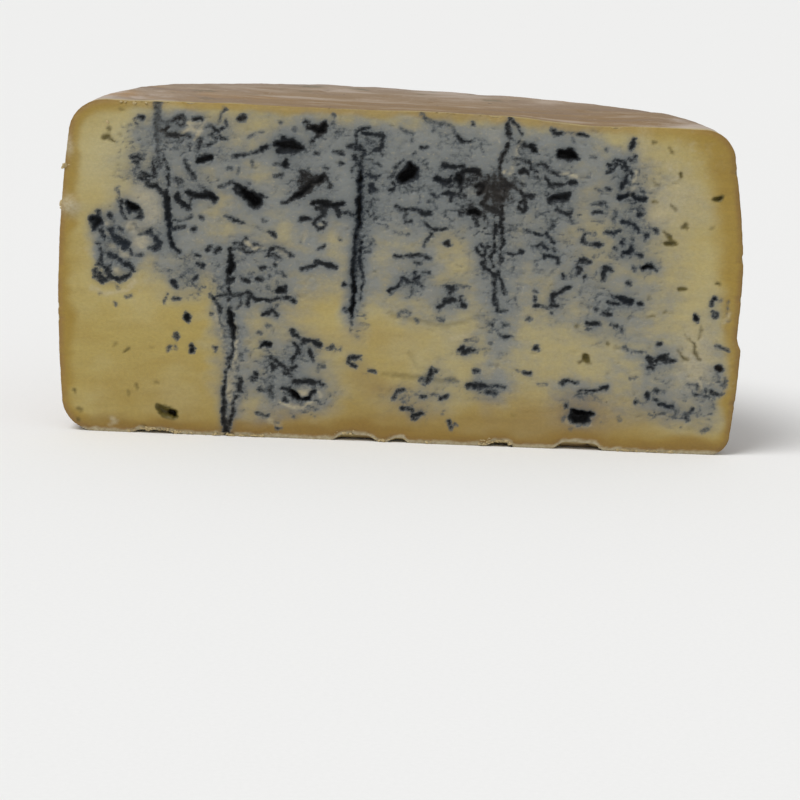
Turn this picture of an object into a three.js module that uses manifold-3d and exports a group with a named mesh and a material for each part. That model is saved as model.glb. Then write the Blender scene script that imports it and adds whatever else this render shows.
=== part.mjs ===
// Half of a round blue-veined cheese, cut straight down through the middle of the wheel.
// Millimetres, +Z up. The cut faces -Y, the round rind side faces +Y, and X runs along the cut.
// The base lies on z = 0 and the origin is under the middle of the bounding box.
import * as THREE from "three";
import { mergeVertices } from "three/addons/utils/BufferGeometryUtils.js";
import Module from "manifold-3d";

const wasm = await Module();
wasm.setup();

// ---- Driving dimensions ----
const WHEEL_RADIUS = 100;
const HEIGHT = 97.1; // the top of the rind above the middle of the cut
const TOP_FALL = 0.02; // the wheel stands lower at its right end, in mm of height per mm of width
const CRUMB_PROUD = 1.2; // how far the loose crumbs stand out of the cut

const DEPTH = WHEEL_RADIUS + CRUMB_PROUD;
const FACE_Y = CRUMB_PROUD - DEPTH / 2; // the plane of the cut

// The section of the wheel at its right end, at its back and at its left end, in this order:
// radii of the wheel just over the base, half way up and just under the top, and the two corner radii.
const SECTIONS = [
  { low: 98.2, middle: 99.8, high: 95.2, baseCorner: 6, topCorner: 9 },
  { low: 98.6, middle: 100, high: 97.6, baseCorner: 8, topCorner: 10 },
  { low: 98.4, middle: 100, high: 97.8, baseCorner: 10, topCorner: 11 },
];

// How far the rim of the top stands over the middle of the top, from the right end round the back to the left end.
const RIM_RISES = [0.5, 1.6, 0.4, 0.8, -1.4];
const RIM_RADIUS = 82; // where the rim is highest
const RIM_WIDTH = 24;
const TOP_DIP = { x: 50, depth: 1.2, width: 14, reach: 25 }; // a dent where the top meets the cut
const TOP_WAVE = 0.3; // height of the slow waves on the top
const RIND_WOBBLE = 0.7; // height of the slow waves round the side

const TURNS = 132; // steps round the whole wheel
const CORNER_STEPS = 5;
const SIDE_STEPS = 9;
const TOP_STEPS = 7;

// Open eyes of the paste, which show as dark holes: place on the cut (x, z), width, height and depth.
const EYES = [
  { x: -89, z: 61.5, wide: 4, high: 6, deep: 2.5 },
  { x: -78, z: 65.5, wide: 6, high: 6.5, deep: 3 },
  { x: -78.5, z: 50, wide: 9, high: 6, deep: 2 },
  { x: -66.5, z: 6.5, wide: 6.6, high: 5, deep: 3 },
  { x: -62, z: 35, wide: 3, high: 3, deep: 2 },
  { x: -60, z: 25.5, wide: 2.4, high: 3.6, deep: 1.6 },
  { x: -58.5, z: 81, wide: 5, high: 3, deep: 2.5 },
  { x: -58.5, z: 70, wide: 8.6, high: 4, deep: 2.5 },
  { x: -43.5, z: 70, wide: 7, high: 5.5, deep: 4.5 },
  { x: -39, z: 28, wide: 3.4, high: 3, deep: 2 },
  { x: -34, z: 86, wide: 8.5, high: 6.5, deep: 3 },
  { x: -30, z: 21, wide: 9, high: 6, deep: 2 },
  { x: -28, z: 13.5, wide: 8.5, high: 6, deep: 4 },
  { x: -27, z: 75, wide: 10.5, high: 6.5, deep: 2.5 },
  { x: -25.5, z: 91, wide: 5.5, high: 5, deep: 2.5 },
  { x: -22, z: 69.5, wide: 9, high: 3, deep: 2 },
  { x: 0.5, z: 79, wide: 7.2, high: 8, deep: 5 },
  { x: 18, z: 78.5, wide: 7.5, high: 6.5, deep: 3 },
  { x: 19, z: 69, wide: 6.5, high: 4, deep: 2.5 },
  { x: 26, z: 17, wide: 10.5, high: 3.2, deep: 1.5 },
  { x: 40.5, z: 30, wide: 2.4, high: 2.4, deep: 1.6 },
  { x: 44.5, z: 74, wide: 6.8, high: 3.8, deep: 2 },
  { x: 46.5, z: 86.5, wide: 6.4, high: 4.6, deep: 4 },
  { x: 54.5, z: 10.5, wide: 7, high: 5, deep: 4.5 },
  { x: 55, z: 27.5, wide: 3.4, high: 3.6, deep: 2 },
  { x: 58, z: 43, wide: 11, high: 3, deep: 1.8 },
  { x: 65, z: 66, wide: 6, high: 8, deep: 2 },
  { x: 70.5, z: 55, wide: 6.5, high: 3.4, deep: 3 },
  { x: 76, z: 25, wide: 8, high: 4, deep: 2 },
  { x: 90.5, z: 75.5, wide: 3, high: 1.9, deep: 1.8 },
];
const EYE_FULLNESS = 1.08; // a lumpy ball is this much larger than the eye, to make up for its flat facets

// Channels left by the piercing needles, as [x, z] places from the top down, and their half width.
const CHANNELS = [
  { path: [[-72.5, 92], [-72, 86], [-69, 80], [-68.5, 68], [-65.5, 54]], half: 1.0 },
  { path: [[-50, 58], [-49.5, 48], [-49, 32], [-50, 16], [-49.5, -2]], half: 1.6 },
  { path: [[-13, 88], [-13, 66], [-13.5, 48], [-14, 33]], half: 1.5 },
  { path: [[30, 95], [28, 82], [27.5, 66], [28.5, 52], [29.5, 37]], half: 1.6 },
  { path: [[65.5, 91], [64, 82], [62.5, 77]], half: 0.9 },
];

// A fine crack in the crumbly paste near the right end.
const CRACK = { path: [[84, 36], [86, 32], [85, 27]], half: 0.45 };
const GROOVE_SIDES = 6;
const GROOVE_STEPS = 9;
const GROOVE_DEEPER = 1.2; // depth of a groove over its half width
const GROOVE_END = 0.45; // width of a groove at its ends over its width half way

// Small pits in the veined paste, scattered with a seeded random sequence.
const PITS = 46;
const PIT_FIELD = { left: -76, right: 80, low: 34, high: 90 };
const PIT_WIDE = [2, 4.6];
const PIT_HIGH = [1.2, 2.2];
const PIT_DEEP = 1.1;

// Places along the lower edge of the cut where the rind is torn away, and how high and deep the tears go.
const TEARS = [
  { x: -71, wide: 14, high: 0.9 },
  { x: -12, wide: 15, high: 1.7 },
  { x: 1, wide: 7, high: 1.3 },
  { x: 31, wide: 8, high: 1.4 },
  { x: 54, wide: 16, high: 2.1 },
];
const TEAR_DEEP = 5;

// Crumbs that cling to the cut: place, width and height.
const CRUMBS = [
  { x: -96, z: 66.5, wide: 5.5, high: 5 },
  { x: -86, z: 2.6, wide: 4, high: 2.4 },
  { x: -58, z: 2.2, wide: 5, high: 2.2 },
  { x: 12, z: 1.8, wide: 6, high: 2 },
];

// A flake of rind has come off the right edge of the cut, down to a small ledge.
const FLAKE = { ledge: 34, top: 60, deep: 1.3, long: 12 };

// ---- Small tools ----
const TAU = Math.PI * 2;
const QUARTER = Math.PI / 2;
const MERGE = 1e-4;
const mix = (a, b, t) => a + (b - a) * t;
const bump = (distance, width) => Math.exp(-((distance / width) ** 2));

// A repeatable random sequence between 0 and 1.
function seeded(seed) {
  let state = seed;
  return () => {
    state = (Math.imul(state, 1664525) + 1013904223) >>> 0;
    return state / 2 ** 32;
  };
}

function solidFrom(points, triangles) {
  const mesh = new wasm.Mesh({
    numProp: 3,
    vertProperties: new Float32Array(points),
    triVerts: new Uint32Array(triangles),
  });
  return new wasm.Manifold(mesh);
}

// ---- The wheel ----
// The section at an angle round the wheel: 0 is the right end, a quarter turn the back, half a turn the left end.
function sectionAt(angle) {
  const along = (1 - Math.cos(angle)) * (SECTIONS.length - 1) * 0.5;
  const first = Math.min(Math.floor(along), SECTIONS.length - 2);
  const section = {};
  for (const key of Object.keys(SECTIONS[0])) {
    section[key] = mix(SECTIONS[first][key], SECTIONS[first + 1][key], along - first);
  }
  return section;
}

// The wheel's radius over the straight part of its side: a parabola through three radii.
function sideRadius({ low, middle, high }, share) {
  const slope = 4 * middle - 3 * low - high;
  const bend = 2 * (low + high - 2 * middle);
  return low + slope * share + bend * share ** 2;
}

// How far the rim stands over the top at an angle round the wheel, eased from one named rise to the next.
function rimRise(angle) {
  const along = (Math.min(Math.abs(angle), Math.PI) / Math.PI) * (RIM_RISES.length - 1);
  const first = Math.min(Math.floor(along), RIM_RISES.length - 2);
  return mix(RIM_RISES[first], RIM_RISES[first + 1], THREE.MathUtils.smoothstep(along - first, 0, 1));
}

// Height of the top at a place, before its corner is rounded. Depth is measured back from the cut.
function topHeight(x, depth) {
  const rim = rimRise(Math.atan2(depth, x)) * bump(Math.hypot(x, depth) - RIM_RADIUS, RIM_WIDTH);
  const dip = TOP_DIP.depth * bump(x - TOP_DIP.x, TOP_DIP.width) * bump(depth, TOP_DIP.reach);
  const waves = TOP_WAVE * (Math.sin(x / 17 + depth / 29) + Math.sin(depth / 13 - x / 31 + 2));
  return HEIGHT - TOP_FALL * x + rim - dip + waves;
}

// Slow waves round the side, which fade out towards the cut, the base and the top.
function wobble(angle, height) {
  const slow = 0.5 * Math.sin(3 * angle + height / 60 + 0.7);
  const middling = 0.3 * Math.sin(7 * angle - height / 23 + 2.1);
  const quick = 0.2 * Math.sin(11 * angle + height / 9);
  const fade = Math.abs(Math.sin(angle)) * Math.sin((Math.PI * height) / HEIGHT);
  return RIND_WOBBLE * (slow + middling + quick) * fade;
}

// One section as [radius, height] places, from near the middle of the base to near the middle of the top.
function profileAt(angle) {
  const section = sectionAt(angle);
  const { baseCorner, topCorner, low, high } = section;
  const shoulder = HEIGHT - topCorner;
  const places = [];
  for (const share of [0.35, 0.7]) {
    places.push([share * (low - baseCorner), 0]);
  }
  for (let i = 0; i <= CORNER_STEPS; i++) {
    const turn = (i / CORNER_STEPS) * QUARTER;
    places.push([low - baseCorner * (1 - Math.sin(turn)), baseCorner * (1 - Math.cos(turn))]);
  }
  for (let i = 1; i < SIDE_STEPS; i++) {
    const share = i / SIDE_STEPS;
    places.push([sideRadius(section, share), mix(baseCorner, shoulder, share)]);
  }
  for (let i = 0; i <= CORNER_STEPS; i++) {
    const turn = (i / CORNER_STEPS) * QUARTER;
    places.push([high - topCorner * (1 - Math.cos(turn)), shoulder + topCorner * Math.sin(turn)]);
  }
  for (let i = 1; i < TOP_STEPS; i++) {
    places.push([(high - topCorner) * (1 - i / TOP_STEPS), HEIGHT]);
  }
  return places;
}

// The whole wheel, with the middle of its base at the origin.
function wheel() {
  const points = [0, 0, 0, 0, 0, topHeight(0, 0)];
  const triangles = [];
  const rows = profileAt(0).length;
  for (let turn = 0; turn < TURNS; turn++) {
    const angle = (turn / TURNS) * TAU;
    for (const [radius, height] of profileAt(angle)) {
      const out = radius + wobble(angle, height);
      const x = out * Math.cos(angle);
      const depth = out * Math.sin(angle);
      points.push(x, depth, (height * topHeight(x, depth)) / HEIGHT);
    }
  }
  const at = (turn, row) => 2 + (turn % TURNS) * rows + row;
  for (let turn = 0; turn < TURNS; turn++) {
    triangles.push(0, at(turn + 1, 0), at(turn, 0));
    triangles.push(1, at(turn, rows - 1), at(turn + 1, rows - 1));
    for (let row = 0; row < rows - 1; row++) {
      triangles.push(at(turn, row), at(turn + 1, row), at(turn + 1, row + 1));
      triangles.push(at(turn, row), at(turn + 1, row + 1), at(turn, row + 1));
    }
  }
  return solidFrom(points, triangles);
}

// ---- What is cut out of it and what clings to it ----
// A lumpy ball round a place on the cut, with half sizes along X, Y and Z.
function lump({ x, z }, halves, random, detail, roughness) {
  const ball = new THREE.IcosahedronGeometry(1, detail);
  ball.deleteAttribute("normal");
  ball.deleteAttribute("uv");
  const round = mergeVertices(ball, MERGE);
  const position = round.getAttribute("position");
  const middle = new THREE.Vector3(x, FACE_Y, z);
  const points = [];
  for (let i = 0; i < position.count; i++) {
    const swell = 1 + roughness * (random() - 0.5);
    const v = new THREE.Vector3().fromBufferAttribute(position, i);
    points.push(...v.multiplyScalar(swell).multiply(halves).add(middle));
  }
  return solidFrom(points, round.index.array);
}

function eyes() {
  const random = seeded(11);
  return EYES.map((eye) => {
    const across = (eye.wide / 2) * EYE_FULLNESS;
    const up = (eye.high / 2) * EYE_FULLNESS;
    return lump(eye, new THREE.Vector3(across, eye.deep, up), random, 1, 0.5);
  });
}

function pits() {
  const random = seeded(29);
  return Array.from({ length: PITS }, () => {
    const x = mix(PIT_FIELD.left, PIT_FIELD.right, random());
    const z = mix(PIT_FIELD.low, PIT_FIELD.high, random());
    const wide = mix(...PIT_WIDE, random());
    const high = mix(...PIT_HIGH, random());
    return lump({ x, z }, new THREE.Vector3(wide / 2, PIT_DEEP, high / 2), random, 0, 0.4);
  });
}

// A groove along a path on the cut, narrowing to both ends.
function groove({ path, half }) {
  const line = new THREE.CatmullRomCurve3(path.map(([x, z]) => new THREE.Vector3(x, FACE_Y, z)));
  const points = [];
  const triangles = [];
  for (let step = 0; step <= GROOVE_STEPS; step++) {
    const share = step / GROOVE_STEPS;
    const centre = line.getPoint(share);
    const radius = half * mix(GROOVE_END, 1, Math.sin(Math.PI * share));
    for (let side = 0; side < GROOVE_SIDES; side++) {
      const turn = ((side + 0.5) / GROOVE_SIDES) * TAU;
      const behind = radius * GROOVE_DEEPER * Math.sin(turn);
      points.push(centre.x + radius * Math.cos(turn), centre.y + behind, centre.z);
    }
  }
  const at = (step, side) => step * GROOVE_SIDES + (side % GROOVE_SIDES);
  for (let side = 0; side < GROOVE_SIDES; side++) {
    for (let step = 0; step < GROOVE_STEPS; step++) {
      triangles.push(at(step, side), at(step + 1, side), at(step + 1, side + 1));
      triangles.push(at(step, side), at(step + 1, side + 1), at(step, side + 1));
    }
  }
  for (let side = 1; side < GROOVE_SIDES - 1; side++) {
    triangles.push(at(0, 0), at(0, side), at(0, side + 1));
    triangles.push(at(GROOVE_STEPS, 0), at(GROOVE_STEPS, side + 1), at(GROOVE_STEPS, side));
  }
  return solidFrom(points, triangles);
}

function tears() {
  const random = seeded(5);
  return TEARS.map((tear) => {
    const halves = new THREE.Vector3(tear.wide / 2, TEAR_DEEP, tear.high);
    return lump({ x: tear.x, z: 0 }, halves, random, 1, 0.35);
  });
}

// The gap left by the flake: a lump that only just enters the side, cut off flat at the ledge.
function flakeGap() {
  const half = FLAKE.top - FLAKE.ledge;
  const edge = sideRadius(SECTIONS[0], FLAKE.ledge / HEIGHT);
  const x = edge + FLAKE.deep;
  const halves = new THREE.Vector3(FLAKE.deep * 2, FLAKE.long, half);
  const gap = lump({ x, z: FLAKE.ledge }, halves, seeded(17), 2, 0.08);
  return gap.trimByPlane([0, 0, 1], FLAKE.ledge);
}

function crumbs() {
  const random = seeded(3);
  return CRUMBS.map((crumb) => {
    const halves = new THREE.Vector3(crumb.wide / 2, CRUMB_PROUD, crumb.high / 2);
    return lump(crumb, halves, random, 1, 0.25);
  });
}

// ---- The half wheel ----
// The body moved along X and Y until the middle of its bounding box is over the origin.
function centred(body) {
  const { min, max } = body.boundingBox();
  return body.translate([-(min[0] + max[0]) / 2, -(min[1] + max[1]) / 2, 0]);
}

function halfWheel() {
  let body = wheel().translate([0, FACE_Y, 0]).trimByPlane([0, 1, 0], FACE_Y);
  for (const crumb of crumbs()) {
    body = body.add(crumb);
  }
  const grooves = [...CHANNELS, CRACK].map(groove);
  for (const cut of [...eyes(), ...pits(), ...grooves, ...tears(), flakeGap()]) {
    body = body.subtract(cut);
  }
  return centred(body.trimByPlane([0, 0, 1], 0));
}

function meshOf(solid, name, material) {
  const made = solid.getMesh();
  const geometry = new THREE.BufferGeometry();
  const places = new Float32Array(made.vertProperties);
  geometry.setAttribute("position", new THREE.BufferAttribute(places, 3));
  geometry.setIndex(new THREE.BufferAttribute(new Uint32Array(made.triVerts), 1));
  const mesh = new THREE.Mesh(geometry, material);
  mesh.name = name;
  return mesh;
}

const veinedPaste = new THREE.MeshStandardMaterial({
  color: "#99916f",
  roughness: 0.55,
  metalness: 0,
});

const group = new THREE.Group();
group.name = "blue_cheese_half";
group.add(meshOf(halfWheel(), "cheese", veinedPaste));

export default group;
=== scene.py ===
"""Half a wheel of blue cheese: the looks of the cut, its mould and its rind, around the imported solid."""

import math

import bmesh
import bpy
import numpy as np
from mathutils import Matrix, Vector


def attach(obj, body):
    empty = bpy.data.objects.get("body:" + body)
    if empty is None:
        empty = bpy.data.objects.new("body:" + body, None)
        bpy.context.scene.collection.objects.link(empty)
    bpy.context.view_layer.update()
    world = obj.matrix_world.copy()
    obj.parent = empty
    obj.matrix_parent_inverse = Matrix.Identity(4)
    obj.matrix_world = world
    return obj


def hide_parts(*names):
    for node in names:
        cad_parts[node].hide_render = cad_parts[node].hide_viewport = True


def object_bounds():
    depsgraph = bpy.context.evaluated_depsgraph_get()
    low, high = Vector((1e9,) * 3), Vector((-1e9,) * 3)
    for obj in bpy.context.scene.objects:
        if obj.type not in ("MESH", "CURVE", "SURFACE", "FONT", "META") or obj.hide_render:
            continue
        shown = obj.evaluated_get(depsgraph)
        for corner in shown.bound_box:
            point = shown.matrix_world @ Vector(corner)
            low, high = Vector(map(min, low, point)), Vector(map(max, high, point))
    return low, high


bl_info = {
    "name": "Half wheel of blue cheese",
    "version": (1, 0, 0),
    "blender": (4, 5, 0),
    "location": "3D View > Sidebar > Cheese",
    "description": "Makes a cut half wheel of blue cheese with natural rind, its crumbs and a plain studio",
    "category": "Object",
}

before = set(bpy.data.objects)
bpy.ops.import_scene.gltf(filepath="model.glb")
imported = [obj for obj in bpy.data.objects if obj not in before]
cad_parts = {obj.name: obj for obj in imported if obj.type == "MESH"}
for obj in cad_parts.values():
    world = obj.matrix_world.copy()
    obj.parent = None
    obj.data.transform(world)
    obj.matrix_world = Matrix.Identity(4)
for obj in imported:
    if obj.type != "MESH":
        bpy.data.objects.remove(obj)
CAD_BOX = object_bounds()

MM = 0.001


# ---- Sizes of the half wheel, in millimetres, as in the solid ----

WHEEL_RADIUS = 100
HEIGHT = 97.1
TOP_FALL = 0.02  # the wheel stands lower at its right end
SECTIONS = {  # at the right end, the back and the left end
    "low": (98.2, 98.6, 98.4),
    "middle": (99.8, 100, 100),
    "high": (95.2, 97.6, 97.8),
    "base_corner": (6, 8, 10),
    "top_corner": (9, 10, 11),
}
RIM_RISES = (0.5, 1.6, 0.4, 0.8, -1.4)  # of the top's rim, from the right end round to the left end
RIM_RADIUS = 82
RIM_WIDTH = 24
TOP_DIP = {"x": 50, "depth": 1.2, "width": 14, "reach": 25}
TOP_WAVE = 0.3
RIND_WOBBLE = 0.7
FLAKE = {"ledge": 34, "top": 60, "deep": 1.3, "long": 12}
TEARS = ((-71, 14, 0.9), (-12, 15, 1.7), (1, 7, 1.3), (31, 8, 1.4), (54, 16, 2.1))  # place, width, height
TEAR_DEEP = 5

# ---- Sizes that only the looks have, in millimetres ----

LUMP = {"x": -96.5, "z": 66.5, "half_width": 2.8, "half_height": 2.5, "out": 0.9}  # of curd, on the left edge
CUT_BACK = 0.35  # how far the wire-cut surface lies behind the solid's, on the whole
BAND = {"left": 7, "right": 13, "under_top": -3.5, "corner": 7}  # widths of the ochre band under the rind
HALO_SPREADS = (0.9, 2.6)  # how far the grey round the marks reaches, near and wide
PIN_HOLES = 150  # left in the rind by the piercing needles
PIN_HOLE_SIZES = (0.8, 1.7)
RIND_CRACKS = (  # start angle round the wheel in degrees, height, length and lean
    (66, 20, 26, 14), (74, 9, 12, 50), (118, 16, 20, -12), (128, 60, 14, 80),
)

# ---- Marks and clouds on the cut, listed one by one ----

MARK_MARGIN = 3  # how far round a mark its ragged edge can reach
MARK_EDGE = (-1.1, 0.46)  # a mark starts this far outside its half width and is full this far inside
SOLID_DEPTH = 2.2  # marks of this depth aren't broken up

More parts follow.
